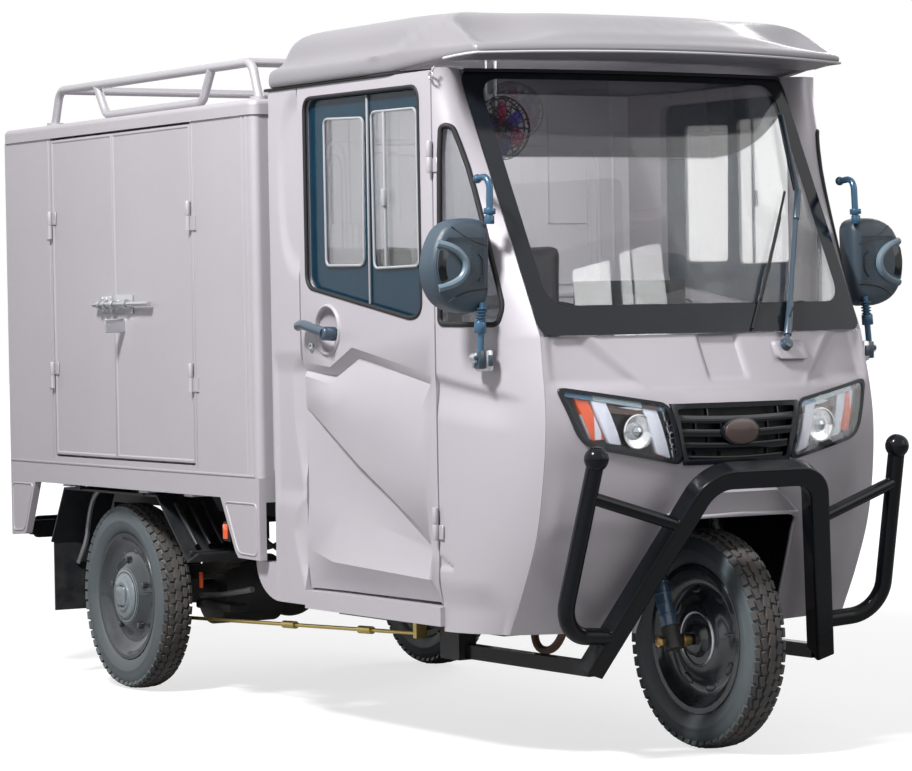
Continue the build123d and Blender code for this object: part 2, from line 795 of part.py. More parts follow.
# Side panels from the door to the nose and windshield seams
# Columns: outer bulge, inner bulge, one row for each nose section and one for each pillar share
side_bulges = [
    (18, 18),
    (19, 19),
    (20, 20),
    (21, 21),
    (22, 22),
    (22, 22),
    (25, 20),
    (27, 16),
    (27, 10),
    (24, 4),
]
pillar_shares = [0.3, 0.55, 0.8, 1]
panel_start_x = door_front_x + door_gap


def side_shell(outward, inward, mode=Mode.ADD):
    low, high = nose_sections[-1], glass_sections[-1]
    pillar = [[a + (b - a) * share for a, b in zip(low, high)] for share in pillar_shares]
    sections = nose_sections + pillar
    outlines = []
    for (z, seam_x, seam_y, middle_x), (outer_bulge, inner_bulge) in zip(sections, side_bulges):
        corners = []
        for reach in (outward, inward):
            start = Vector(panel_start_x, -cab_half - reach)
            end_x = front_axle_x + seam_x - seam_gap + seam_x_share * reach
            end = Vector(end_x, -seam_y - 1 - seam_y_share * reach)
            chord = end - start
            normal = Vector(chord.Y, -chord.X).normalized()
            bulge = outer_bulge + (outer_bulge - inner_bulge) * reach / cab_wall
            corners.append((start, (start + end) / 2 + normal * bulge, end))
        outer, inner = corners
        with BuildSketch(Plane.XY.offset(z)) as outline:
            with BuildLine():
                ThreePointArc(*outer)
                Line(outer[2], inner[2])
                ThreePointArc(*reversed(inner))
                Line(inner[0], outer[0])
            make_face()
        outlines.append(outline.sketch)
    loft(outlines, ruled=True, mode=mode)


# Quarter windows. Columns: X from the front axle, Z
quarter_window = [(-282, 1030), (-258, 1466), (-246, 1466), (-54, 1044), (-60, 1014)]


def window_prism(points, gap, mode):
    with BuildSketch(Plane.XZ.offset(cab_half + 40)) as outline:
        Polygon(*[(front_axle_x + x, z) for x, z in points], align=None)
        if gap:
            offset(amount=gap, kind=Kind.INTERSECTION, mode=Mode.REPLACE)
    extrude(outline.sketch, amount=-200, mode=mode)


door_axis_x = door_front_x + door_gap / 2
door_axis_y = cab_half + knuckle_stand
# Columns: lower end, middle and upper end of a hinge in Z; the side panel carries the lower half
door_hinge_spans = [(505, 543, 582), (1365, 1402, 1440)]
with BuildPart() as side_panels:
    side_shell(0, -cab_wall)
    window_prism(quarter_window, 0, Mode.SUBTRACT)
    for low_z, mid_z, high_z in door_hinge_spans:
        rod((door_axis_x, -door_axis_y, low_z), (door_axis_x, -door_axis_y, mid_z), knuckle_radius)
        block(door_axis_x, door_axis_x + 24, -cab_half - strap_thick, -cab_half + 4, low_z, mid_z)
    mirror(about=Plane.XZ)
save(side_panels.part, "side_panels")

# Columns: Z, X and Y of the pane's rear side, X and Y of its front side
quarter_pane = [(1010, -300, 551, -40, 471), (1470, -275, 549, -230, 508)]
with BuildPart() as quarter_glass:
    for z, rear_x, rear_y, front_x, front_y in quarter_pane:
        with BuildSketch(Plane.XY.offset(z)):
            Polygon(
                (front_axle_x + rear_x, -rear_y),
                (front_axle_x + front_x, -front_y),
                (front_axle_x + front_x, -front_y + glass_thick),
                (front_axle_x + rear_x, -rear_y + glass_thick),
                align=None,
            )
    loft(ruled=True)
    window_prism(quarter_window, -seat_gap, Mode.INTERSECT)
    mirror(about=Plane.XZ)
save(quarter_glass.part, "quarter_glass")

# Windshield, bowed between the side panels
with BuildPart() as windshield:
    bowed_shell(glass_sections, 0, -glass_thick)
save(windshield.part, "windshield")

# Lamp and grille outlines on the nose. Columns: Y, Z, for the left side
lamp_outline = [(186, 822), (444, 865), (446, 785), (378, 724), (152, 677)]
arch_outline = [(150, 558), (172, 545), (289, 280)]
brow_top_z = 606


def nose_prism(outlines, gap, mode):
    with BuildSketch(Plane.YZ.offset(front_axle_x - 250)) as shapes:
        for outline in outlines:
            Polygon(*outline, align=None)
        if gap:
            offset(amount=gap, kind=Kind.INTERSECTION, mode=Mode.REPLACE)
    extrude(shapes.sketch, amount=500, mode=mode)


def mirrored(outline):
    return [(-y, z) for y, z in reversed(outline)]


grille_shape = [(-184, 820), (184, 820), (150, 677), (-150, 677)]
arch_shape = arch_outline + [(289, 200), (-289, 200)] + mirrored(arch_outline)
lamp_stand = 8
with BuildPart() as front_fascia:
    bowed_shell(nose_sections, 0, -nose_thick)
    with BuildSketch(Plane.XY.offset(556)):
        with BuildLine():
            ThreePointArc(
                (front_axle_x + 108, -190), (front_axle_x + 157, 0), (front_axle_x + 108, 190)
            )
            Line((front_axle_x + 108, 190), (front_axle_x + 108, -190))
        make_face()
    extrude(amount=brow_top_z - 556)
    nose_prism([arch_shape], 0, Mode.SUBTRACT)
    nose_prism([grille_shape, lamp_outline, mirrored(lamp_outline)], seat_gap, Mode.SUBTRACT)
save(front_fascia.part, "front_fascia")

with BuildPart() as headlights:
    bowed_shell(nose_sections, lamp_stand, -22)
    nose_prism([lamp_outline, mirrored(lamp_outline)], 0, Mode.INTERSECT)
    nose_prism([grille_shape], seat_gap * 2, Mode.SUBTRACT)
save(headlights.part, "headlights")

# Grille, a frame with slats behind it and an oval disc in the middle
grille_bars = [708, 730, 752, 774, 796]
with BuildPart() as grille:
    bowed_shell(nose_sections, 6, -20)
    nose_prism([grille_shape], -seat_gap, Mode.INTERSECT)
    with BuildSketch(Plane.YZ.offset(front_axle_x - 250)):
        inner_frame = [(-168, 806), (168, 806), (142, 691), (-142, 691)]
        Polygon(*inner_frame, align=None)
        for z in grille_bars:
            with Locations((0, z)):
                Rectangle(360, 9, mode=Mode.SUBTRACT)
        with Locations((0, 754)):
            Ellipse(54, 34, mode=Mode.SUBTRACT)
    extrude(amount=500, mode=Mode.SUBTRACT)
save(grille.part, "grille")

# Wheel arch liner behind the nose, open below and in front, with a hole for the steering column
liner_wall = 10
liner_bottom_z = nose_sections[0][0]
with BuildPart() as wheel_arch_liner:
    block(liner_rear_x, front_axle_x + 130, -liner_half, liner_half, liner_bottom_z, liner_top_z)
    fillet(wheel_arch_liner.edges().filter_by(Axis.Y).group_by(Axis.Z)[-1].group_by(Axis.X)[0], radius=90)
    with BuildSketch(Plane.XZ.offset(-liner_half + liner_wall)):
        with BuildLine():
            Polyline(
                (liner_rear_x + liner_wall, liner_bottom_z - 1),
                (liner_rear_x + liner_wall, liner_top_z - 90),
            )
            TangentArc(
                (liner_rear_x + liner_wall, liner_top_z - 90),
                (liner_rear_x + 90, liner_top_z - liner_wall),
                tangent=(0, 1),
            )
            Polyline(
                (liner_rear_x + 90, liner_top_z - liner_wall),
                (front_axle_x + 140, liner_top_z - liner_wall),
                (front_axle_x + 140, liner_bottom_z - 1),
                (liner_rear_x + liner_wall, liner_bottom_z - 1),
            )
        make_face()
    extrude(amount=(liner_half - liner_wall) * 2, mode=Mode.SUBTRACT)
    column_low = (axis_x - rake_slope * (500 - tyre_radius), 0, 500)
    column_high = (axis_x - rake_slope * (640 - tyre_radius), 0, 640)
    rod(column_low, column_high, column_radius + 10, mode=Mode.SUBTRACT)
    bowed_shell(nose_sections, 300, -nose_thick - seat_gap, mode=Mode.SUBTRACT)
save(wheel_arch_liner.part, "wheel_arch_liner")

# Cab roof, a hollow dome with a visor over the windshield
visor_corner_x = front_axle_x - 135
visor_middle_x = front_axle_x - 55
visor_half = 530
roof_half = 575
roof_rear_x = cab_rear_x - 19
roof_top = cab_roof_z + roof_height
with BuildPart() as cab_roof:
    with BuildSketch(Plane.XZ.offset(-roof_half)):
        Polygon(
            (door_front_x - 60, cab_roof_z),
            (visor_middle_x, cab_roof_z + 22),
            (visor_middle_x, cab_roof_z + 42),
            (door_front_x + 50, roof_top - 4),
            (door_front_x - 60, roof_top - 4),
            align=None,
        )
    extrude(amount=roof_half * 2)
    with BuildSketch(Plane.XY.offset(cab_roof_z - 10)):
        with BuildLine():
            Polyline(
                (visor_corner_x, visor_half),
                (door_front_x + 60, roof_half),
                (door_front_x - 80, roof_half),
                (door_front_x - 80, -roof_half),
                (door_front_x + 60, -roof_half),
                (visor_corner_x, -visor_half),
            )
            ThreePointArc((visor_corner_x, -visor_half), (visor_middle_x, 0), (visor_corner_x, visor_half))
        make_face()
    with BuildSketch(Plane.XY.offset(cab_roof_z + 40)):
        with BuildLine():
            Polyline(
                (visor_corner_x, visor_half),
                (door_front_x + 60, roof_half),
                (door_front_x - 80, roof_half),
                (door_front_x - 80, -roof_half),
                (door_front_x + 60, -roof_half),
                (visor_corner_x, -visor_half),
            )
            ThreePointArc((visor_corner_x, -visor_half), (visor_middle_x, 0), (visor_corner_x, visor_half))
        make_face()
    with BuildSketch(Plane.XY.offset(roof_top + 10)):
        with BuildLine():
            Polyline(
                (visor_corner_x - 60, visor_half - 80),
                (door_front_x + 60, visor_half - 70),
                (door_front_x - 80, visor_half - 60),
                (door_front_x - 80, -visor_half + 60),
                (door_front_x + 60, -visor_half + 70),
                (visor_corner_x - 60, -visor_half + 80),
            )
            ThreePointArc(
                (visor_corner_x - 60, -visor_half + 80),
                (visor_middle_x, 0),
                (visor_corner_x - 60, visor_half - 80),
            )
        make_face()
    loft(ruled=True, mode=Mode.INTERSECT)
    block(roof_rear_x, door_front_x, -roof_half, roof_half, cab_roof_z, cab_roof_z + 40)
    # Columns: Z, rear X, front X, half width
    for z, x1, x2, half in (
        (cab_roof_z + 40, roof_rear_x + 12, door_front_x + 20, roof_half - 8),
        (roof_top, roof_rear_x + 140, door_front_x - 50, 460),
    ):
        with BuildSketch(Plane.XY.offset(z)):
            with Locations(((x1 + x2) / 2, 0)):
                RectangleRounded(x2 - x1, half * 2, 60)
    loft(ruled=True)
    for z, x1, x2, half in (
        (cab_roof_z - 1, cab_rear_x + 25, door_front_x - 10, 530),
        (roof_top - 28, cab_rear_x + 145, door_front_x - 80, 430),
    ):
        with BuildSketch(Plane.XY.offset(z)):
            with Locations(((x1 + x2) / 2, 0)):
                RectangleRounded(x2 - x1, half * 2, 50)
    loft(ruled=True, mode=Mode.SUBTRACT)
save(cab_roof.part, "cab_roof")

# Cab doors with a window opening, hinge knuckles at the front edge and a lever handle
# Columns: X from the door's rear edge, Z
window_outline = [(32, 1576), (588, 1573), (588, 1040), (546, 1024), (32, 1107)]
pane_thick = 5
for side, out in (("right", -1), ("left", 1)):
    with BuildPart() as cab_door:
        with BuildSketch(Plane.XZ.offset(cab_half)):
            with Locations(((door_rear_x + door_front_x) / 2, (door_bottom_z + door_top_z) / 2)):
                RectangleRounded(door_width, door_top_z - door_bottom_z, 12)
            with BuildSketch(mode=Mode.SUBTRACT) as opening:
                Polygon(*[(door_rear_x + x, z) for x, z in window_outline], align=None)
                fillet(opening.vertices(), radius=28)
        extrude(amount=-door_thick)
        for low_z, mid_z, high_z in door_hinge_spans:
            start_z = mid_z + seat_gap
            rod((door_axis_x, -door_axis_y, start_z), (door_axis_x, -door_axis_y, high_z), knuckle_radius)
            block(
                door_axis_x - strap_length,
                door_axis_x,
                -cab_half - strap_thick,
                -cab_half + 2,
                start_z,
                high_z,
            )
        rod((door_rear_x + 113, -cab_half + 2, 1002), (door_rear_x + 113, -cab_half - 30, 1002), 22)
        block(door_rear_x + 8, door_rear_x + 125, -cab_half - 38, -cab_half - 22, 990, 1014)
        if side == "left":
            mirror(about=Plane.XZ, mode=Mode.REPLACE)
    save(cab_door.part, f"cab_door_{side}")
    with BuildPart() as door_glass:
        with BuildSketch(Plane.XZ.offset(cab_half - 14)) as pane:
            Polygon(*[(door_rear_x + x, z) for x, z in window_outline], align=None)
            fillet(pane.vertices(), radius=28)
            offset(amount=-seat_gap, mode=Mode.REPLACE)
        extrude(amount=-pane_thick)
        if side == "left":
            mirror(about=Plane.XZ, mode=Mode.REPLACE)
    save(door_glass.part, f"door_glass_{side}")

# Front guard: a square tube arch, two round hoops with ball ends, branches and bars back to the chassis
arch_tube = 50
hoop_radius = 20
ball_radius = 28.5
arch_corner = 6
foot = Vector(front_axle_x + 3, -rail_y - 4, 205)
knee_reach = 31.6
knee = Vector(front_axle_x + front_overhang - knee_reach, -150, 655)
arch_rise = Vector(knee.X - foot.X, 0, knee.Z - foot.Z)
arch_plane = Plane(
    origin=(foot.X, 0, foot.Z), x_dir=(0, 1, 0), z_dir=Vector(0, 1, 0).cross(arch_rise)
)
with BuildPart() as front_guard:
    with BuildLine(arch_plane) as arch_path:
        FilletPolyline(
            (foot.Y, 0), (knee.Y, arch_rise.length), (-knee.Y, arch_rise.length), (-foot.Y, 0), radius=85
        )
    with BuildSketch(Plane(origin=arch_path.line @ 0, x_dir=arch_plane.z_dir, z_dir=arch_path.line % 0)):
        RectangleRounded(arch_tube, arch_tube, arch_corner)
    sweep(path=arch_path.line)
    for out in (-1, 1):
        ball = (front_axle_x + 186, out * 430, 704)
        elbow = (front_axle_x + 75, out * 462, 300)
        joint = (front_axle_x + 48, out * (rail_y - 25), 287)
        with BuildLine() as hoop_path:
            FilletPolyline(ball, elbow, joint, radius=85)
        with BuildSketch(Plane(origin=ball, z_dir=hoop_path.line % 0)):
            Circle(hoop_radius)
        sweep(path=hoop_path.line)
        with Locations(ball):
            Sphere(ball_radius)
        rod((front_axle_x + 165, out * 436, 618), (front_axle_x + 184, out * 215, 548), 15)
        block(
            bracket_front_x + seat_gap,
            front_axle_x + 3,
            out * (rail_y - 8) - 16,
            out * (rail_y - 8) + 16,
            192,
            226,
        )
save(front_guard.part, "front_guard")

# Front fork and steering column along the raked axis, with spring struts, axle and handlebar
leg_y = 98
strut_length = 300
crown_half_depth = 14

axle_ahead = steering_offset * cos(radians(rake))
axle_along = -steering_offset * sin(radians(rake))
column_top = 790
with BuildPart() as front_fork:
    rod(along_axis(strut_length - 5), along_axis(column_top), column_radius)
    axis_direction = (-sin(radians(rake)), 0, cos(radians(rake)))
    crown_plane = Plane(origin=along_axis(strut_length), x_dir=(0, 1, 0), z_dir=axis_direction)
    with BuildSketch(crown_plane):
        Circle(34)
        with Locations((0, -axle_ahead / 2)):
            Rectangle(leg_y * 2 + 30, 46)
    extrude(amount=crown_half_depth, both=True)
    for out in (-1, 1):
        lug_low = along_axis(axle_along - 20, axle_ahead, out * leg_y)
        lug_high = along_axis(axle_along + 34, axle_ahead, out * leg_y)
        rod(lug_low, lug_high, 22)
    rod((front_axle_x, -leg_y - 30, tyre_radius), (front_axle_x, leg_y + 30, tyre_radius), front_axle_radius)
save(front_fork.part, "front_fork")

with BuildPart() as front_struts:
    for out in (-1, 1):
        low = along_axis(axle_along + 34 + seat_gap, axle_ahead, out * leg_y)
        middle = along_axis(axle_along + 170, axle_ahead, out * leg_y)
        high = along_axis(strut_length - crown_half_depth - seat_gap, axle_ahead, out * leg_y)
        rod(low, middle, 21)
        rod(middle, high, 15)
save(front_struts.part, "front_struts")

bar_radius = 12
grip_radius = 17
with BuildPart() as handlebar:
    centre = Vector(*along_axis(column_top + 14))
    rod(along_axis(column_top + seat_gap), along_axis(column_top + 30), 26)
    for out in (-1, 1):
        turn = centre + Vector(-20, out * 180, 34)
        grip_end = centre + Vector(-125, out * 315, 20)
        grip_start = turn + (grip_end - turn) * 0.3
        with BuildLine() as bar_path:
            FilletPolyline(tuple(centre), tuple(turn), tuple(grip_end), radius=50)
        with BuildSketch(Plane(origin=tuple(centre), z_dir=bar_path.line % 0)):
            Circle(bar_radius)
        sweep(path=bar_path.line)
        rod(tuple(grip_start), tuple(grip_end), grip_radius)
    pod = centre + Vector(20, 0, 62)
    block(pod.X - 80, pod.X + 80, -110, 110, pod.Z - 38, pod.Z + 30)
save(handlebar.part, "handlebar")

# Dashboard under the windshield
with BuildPart() as dashboard:
    block(front_axle_x - 145, front_axle_x + 80, -435, 435, 850, 976)
    bowed_shell(nose_sections, 100, -nose_thick - seat_gap, mode=Mode.SUBTRACT)
save(dashboard.part, "dashboard")

# Seat: base box, cushion and backrest
seat_base_top_z = 640
with BuildPart() as seat_base:
    block(
        cab_rear_x + 60, cab_rear_x + 440, -330, 330, floor_top_z + seat_gap, seat_base_top_z
    )
save(seat_base.part, "seat_base")
with BuildPart() as seat_cushions:
    block(
        cab_rear_x + 65, cab_rear_x + 465, -300, 300, seat_base_top_z + seat_gap, seat_base_top_z + 95
    )
    with BuildSketch(Plane.XZ.offset(-290)):
        Polygon(
            (cab_rear_x + back_wall_thick + seat_gap, seat_base_top_z + 110),
            (cab_rear_x + 118, seat_base_top_z + 110),
            (cab_rear_x + 88, 1230),
            (cab_rear_x + back_wall_thick + seat_gap, 1230),
            align=None,
        )
    extrude(amount=580)
save(seat_cushions.part, "seat_cushions")

# Cab fan on two rods under the roof
fan_x = rear_axle_x + 1600
fan_y = -263
fan_z = 1483
fan_radius = 78
with BuildPart() as fan:
    rod((fan_x - 35, fan_y, fan_z), (fan_x + 30, fan_y, fan_z), fan_radius)
    rod((fan_x - 70, fan_y, fan_z), (fan_x - 34, fan_y, fan_z), 32)
    for y in (fan_y - 14, fan_y + 14):
        rod((fan_x - 52, y, fan_z), (fan_x - 52, y, roof_top - 28 - seat_gap), 5)
save(fan.part, "fan")

# Mirrors on bent arms, with a lower stay to a plate on the cab side
arm_radius = 8
with BuildPart() as mirrors:
    root = (front_axle_x - 200, -482, 1339)
    bend = (front_axle_x - 92, -534, 1336)
    top = (front_axle_x - 86, -545, 1240)
    with BuildLine() as arm_path:
        FilletPolyline(root, bend, top, radius=18)
    with BuildSketch(Plane(origin=root, z_dir=arm_path.line % 0)):
        Circle(arm_radius)
    sweep(path=arm_path.line)
    rod((front_axle_x - 84, -556, 1080), (front_axle_x - 62, -540, 930), arm_radius - 1)
    block(front_axle_x - 95, front_axle_x - 35, -550, -480, 905, 950)
    side_shell(seat_gap, -cab_wall - 40, mode=Mode.SUBTRACT)
    block(front_axle_x - 155, front_axle_x - 80, -688, -524, 1034, 1258)
    mirror(about=Plane.XZ)
save(mirrors.part, "mirrors")

# Wiper with its pivot on the nose under the glass
with BuildPart() as wiper:
    pivot = (front_axle_x + 69, 186, 947)
    elbow = (front_axle_x - 126, 385, 1322)
    rod(pivot, (pivot[0] + 30, pivot[1], pivot[2] + 12), 14)
    rod((pivot[0] + 20, pivot[1], pivot[2] + 8), elbow, 6)
save(wiper.part, "wiper")
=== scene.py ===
import math
from contextlib import contextmanager

import bmesh
import bpy
from mathutils import Matrix, Vector
from mathutils.geometry import interpolate_bezier


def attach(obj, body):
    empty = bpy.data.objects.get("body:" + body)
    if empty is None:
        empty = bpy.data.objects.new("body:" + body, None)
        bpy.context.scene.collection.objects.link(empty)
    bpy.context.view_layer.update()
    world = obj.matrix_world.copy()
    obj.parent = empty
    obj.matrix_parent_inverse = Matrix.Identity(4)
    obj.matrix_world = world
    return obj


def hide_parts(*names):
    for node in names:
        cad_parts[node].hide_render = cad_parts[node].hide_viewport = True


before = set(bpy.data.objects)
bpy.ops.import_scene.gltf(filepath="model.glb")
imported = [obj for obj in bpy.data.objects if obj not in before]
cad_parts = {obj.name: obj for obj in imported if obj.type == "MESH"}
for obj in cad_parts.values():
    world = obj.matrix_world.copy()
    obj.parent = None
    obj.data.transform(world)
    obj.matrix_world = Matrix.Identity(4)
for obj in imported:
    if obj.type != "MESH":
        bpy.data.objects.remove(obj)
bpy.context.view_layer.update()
print("frame loaded")

# Places shared by many pieces, in millimetres
trike = {
    "frontAxle": 1205,
    "rearAxle": -845,
    "wheelHalf": 484,
    "axleHeight": 260,
    "cabHalf": 560,
    "panelStart": 919,
    "boxHalf": 588,
    "leafSeam": -744,
}


def newLink(tree, source, target):
    tree.links.new(source, target)


def mathNode(tree, operation, first, second=None, third=None, clamp=False):
    node = tree.nodes.new("ShaderNodeMath")
    node.operation = operation
    node.use_clamp = clamp
    for socket, value in zip(node.inputs, (first, second, third)):
        if value is None:
            continue
        if isinstance(value, (int, float)):
            socket.default_value = value
        else:
            newLink(tree, value, socket)
    return node.outputs[0]


def noiseNode(tree, coords, scale, detail=3, rough=0.55):
    node = tree.nodes.new("ShaderNodeTexNoise")
    node.inputs["Scale"].default_value = scale
    node.inputs["Detail"].default_value = detail
    node.inputs["Roughness"].default_value = rough
    newLink(tree, coords, node.inputs["Vector"])
    return node.outputs["Fac"]


def mixColours(tree, share, first, second, blend="MIX"):
    node = tree.nodes.new("ShaderNodeMix")
    node.data_type = "RGBA"
    node.blend_type = blend
    for socket, value in ((node.inputs[0], share), (node.inputs[6], first), (node.inputs[7], second)):
        if isinstance(value, (int, float)):
            socket.default_value = value
        elif isinstance(value, tuple):
            socket.default_value = (*value, 1)
        else:
            newLink(tree, value, socket)
    return node.outputs[2]


def startGroup(name, inputs, outputs):
    tree = bpy.data.node_groups.new(name, "ShaderNodeTree")
    for label, kind, value in inputs:
        socket = tree.interface.new_socket(name=label, in_out="INPUT", socket_type=kind)
        socket.default_value = (*value, 1) if kind == "NodeSocketColor" else value
    for label, kind in outputs:
        tree.interface.new_socket(name=label, in_out="OUTPUT", socket_type=kind)
    return tree, tree.nodes.new("NodeGroupInput"), tree.nodes.new("NodeGroupOutput")


def objectCoords(tree):
    return tree.nodes.new("ShaderNodeTexCoord").outputs["Object"]


def surfaceGroup():
    # one colour with broad tone drift, fine grain, settled dust and scuffs
    tree, source, target = startGroup(
        "agedSurface",
        [
            ("Colour", "NodeSocketColor", (0.5, 0.5, 0.5)),
            ("Tone drift", "NodeSocketFloat", 0.1),
            ("Grain size", "NodeSocketFloat", 900.0),
            ("Grain depth", "NodeSocketFloat", 0.1),
            ("Roughness", "NodeSocketFloat", 0.4),
            ("Dust colour", "NodeSocketColor", (0.4, 0.36, 0.3)),
            ("Dust", "NodeSocketFloat", 0.2),
            ("Dust top", "NodeSocketFloat", 0.6),
        ],
        [
            ("Colour", "NodeSocketColor"),
            ("Roughness", "NodeSocketFloat"),
            ("Normal", "NodeSocketVector"),
        ],
    )
    coords = objectCoords(tree)
    broad = noiseNode(tree, coords, 2.3, 4)
    patchy = noiseNode(tree, coords, 22, 5, 0.65)
    fine = tree.nodes.new("ShaderNodeTexNoise")
    fine.inputs["Detail"].default_value = 2
    newLink(tree, coords, fine.inputs["Vector"])
    newLink(tree, source.outputs["Grain size"], fine.inputs["Scale"])
    drift = mathNode(tree, "SUBTRACT", broad, 0.5)
    drift = mathNode(tree, "MULTIPLY_ADD", drift, source.outputs["Tone drift"], 1.0)
    speck = mathNode(tree, "SUBTRACT", fine.outputs["Fac"], 0.5)
    speck = mathNode(tree, "MULTIPLY_ADD", speck, mathNode(tree, "MULTIPLY", source.outputs["Tone drift"], 0.8), drift)
    toned = tree.nodes.new("ShaderNodeVectorMath")
    toned.operation = "SCALE"
    newLink(tree, source.outputs["Colour"], toned.inputs[0])
    newLink(tree, speck, toned.inputs["Scale"])
    # dust lies lower down and where the surface looks up
    axes = tree.nodes.new("ShaderNodeSeparateXYZ")
    newLink(tree, coords, axes.inputs[0])
    height = mathNode(tree, "DIVIDE", axes.outputs["Z"], source.outputs["Dust top"])
    low = mathNode(tree, "SUBTRACT", 1.0, height, clamp=True)
    facing = tree.nodes.new("ShaderNodeNewGeometry")
    upward = tree.nodes.new("ShaderNodeSeparateXYZ")
    newLink(tree, facing.outputs["Normal"], upward.inputs[0])
    lying = mathNode(tree, "MULTIPLY_ADD", upward.outputs["Z"], 0.35, 0.65, clamp=True)
    patches = mathNode(tree, "MULTIPLY_ADD", patchy, 3.0, -1.0, clamp=True)
    dust = mathNode(tree, "MULTIPLY", mathNode(tree, "MULTIPLY", low, lying), patches)
    dust = mathNode(tree, "MULTIPLY", dust, source.outputs["Dust"], clamp=True)
    newLink(tree, mixColours(tree, dust, toned.outputs[0], source.outputs["Dust colour"]), target.inputs["Colour"])
    rough = mathNode(tree, "MULTIPLY_ADD", mathNode(tree, "SUBTRACT", patchy, 0.5), 0.18, source.outputs["Roughness"])
    rough = mathNode(tree, "MULTIPLY_ADD", dust, 0.5, rough, clamp=True)
    newLink(tree, rough, target.inputs["Roughness"])
    bump = tree.nodes.new("ShaderNodeBump")
    bump.inputs["Distance"].default_value = 0.0006
    newLink(tree, source.outputs["Grain depth"], bump.inputs["Strength"])
    newLink(tree, fine.outputs["Fac"], bump.inputs["Height"])
    newLink(tree, bump.outputs[0], target.inputs["Normal"])
    return tree


agedSurface = surfaceGroup()


def makeFinish(name, colour, grain=900.0, depth=0.1, rough=0.4, drift=0.1, dust=0.2, dustTop=0.6,
               dustColour=(0.4, 0.36, 0.3), **sockets):
    finish = bpy.data.materials.new(name)
    finish.use_nodes = True
    tree = finish.node_tree
    shader = tree.nodes["Principled BSDF"]
    group = tree.nodes.new("ShaderNodeGroup")
    group.node_tree = agedSurface
    values = {
        "Colour": (*colour, 1),
        "Tone drift": drift,
        "Grain size": grain,
        "Grain depth": depth,
        "Roughness": rough,
        "Dust colour": (*dustColour, 1),
        "Dust": dust,
        "Dust top": dustTop,
    }
    for label, value in values.items():
        group.inputs[label].default_value = value
    newLink(tree, group.outputs["Colour"], shader.inputs["Base Color"])
    newLink(tree, group.outputs["Roughness"], shader.inputs["Roughness"])
    newLink(tree, group.outputs["Normal"], shader.inputs["Normal"])
    for label, value in sockets.items():
        shader.inputs[label.replace("_", " ")].default_value = value
    return finish


bodyPaint = makeFinish(
    "bodyPaint", (0.43, 0.403, 0.44), 1500.0, 0.12, 0.42, 0.12, 0.10, 0.75, Metallic=0.2, Coat_Weight=0.15,
    Coat_Roughness=0.25,
)
boxPaint = makeFinish(
    "boxPaint", (0.405, 0.383, 0.415), 1200.0, 0.14, 0.48, 0.16, 0.12, 0.8, Metallic=0.2, Coat_Weight=0.25,
    Coat_Roughness=0.25,
)
hubPaint = makeFinish("hubPaint", (0.16, 0.19, 0.21), 500.0, 0.15, 0.28, 0.3, 0.1, 0.4, Coat_Weight=0.4)
lensBlue = makeFinish("lensBlue", (0.09, 0.22, 0.36), 400.0, 0.1, 0.12, 0.3, 0.0, Coat_Weight=0.6)
lensPale = makeFinish("lensPale", (0.45, 0.55, 0.6), 400.0, 0.1, 0.15, 0.2, 0.0, Coat_Weight=0.6)
reflectorBrown = makeFinish("reflectorBrown", (0.10, 0.06, 0.055), 200.0, 0.5, 0.25, 0.8, 0.0, Coat_Weight=0.4)
# roof in the body's grey darkened to little more than half: painted shade that keeps the steeply lit top from washing
# out
roofShadedPaint = makeFinish(
    "roofShadedPaint", (0.25, 0.239, 0.258), 1500.0, 0.12, 0.42, 0.12, 0.0, Metallic=0.25, Coat_Weight=0.3,
    Coat_Roughness=0.18,
)
# light grey for the cab's inner panels, made paler than the panel's own paint: partly real colour, partly painted light
# standing in for the daylight inside the cab
cabinPaint = makeFinish("cabinPaint", (0.74, 0.72, 0.76), 800.0, 0.2, 0.55, 0.1, 0.05, 0.6)
guardPaint = makeFinish("guardPaint", (0.005, 0.006, 0.008), 700.0, 0.12, 0.16, 0.3, 0.06, 0.4, Specular_IOR_Level=0.2)
framePaint = makeFinish(
    "framePaint", (0.012, 0.014, 0.018), 500.0, 0.3, 0.36, 0.4, 0.3, 0.65, (0.2, 0.17, 0.13), Specular_IOR_Level=0.3,
)
axlePaint = makeFinish("axlePaint", (0.03, 0.03, 0.032), 420.0, 0.4, 0.5, 0.5, 0.5, 0.55, (0.2, 0.16, 0.12))
rackPaint = makeFinish("rackPaint", (0.40, 0.385, 0.41), 1200.0, 0.12, 0.4, 0.14, 0.0, Metallic=0.25, Coat_Weight=0.3)
mouldedBlack = makeFinish(
    "mouldedBlack", (0.014, 0.015, 0.017), 1600.0, 0.5, 0.45, 0.25, 0.12, 0.5, Specular_IOR_Level=0.3,
)
glossBlack = makeFinish("glossBlack", (0.008, 0.010, 0.014), 900.0, 0.05, 0.12, 0.2, 0.0, Specular_IOR_Level=0.4)
rubberSeal = makeFinish("rubberSeal", (0.016, 0.016, 0.018), 1200.0, 0.3, 0.6, 0.2, 0.2, 0.6, Specular_IOR_Level=0.3)
bandTeal = makeFinish(
    "bandTeal", (0.008, 0.038, 0.066), 1200.0, 0.02, 0.2, 0.6, 0.0, Specular_IOR_Level=0.3, Coat_Weight=0.0,
)
paneFrame = makeFinish("paneFrame", (0.33, 0.34, 0.36), 1200.0, 0.2, 0.4, 0.2, 0.1, 0.6)
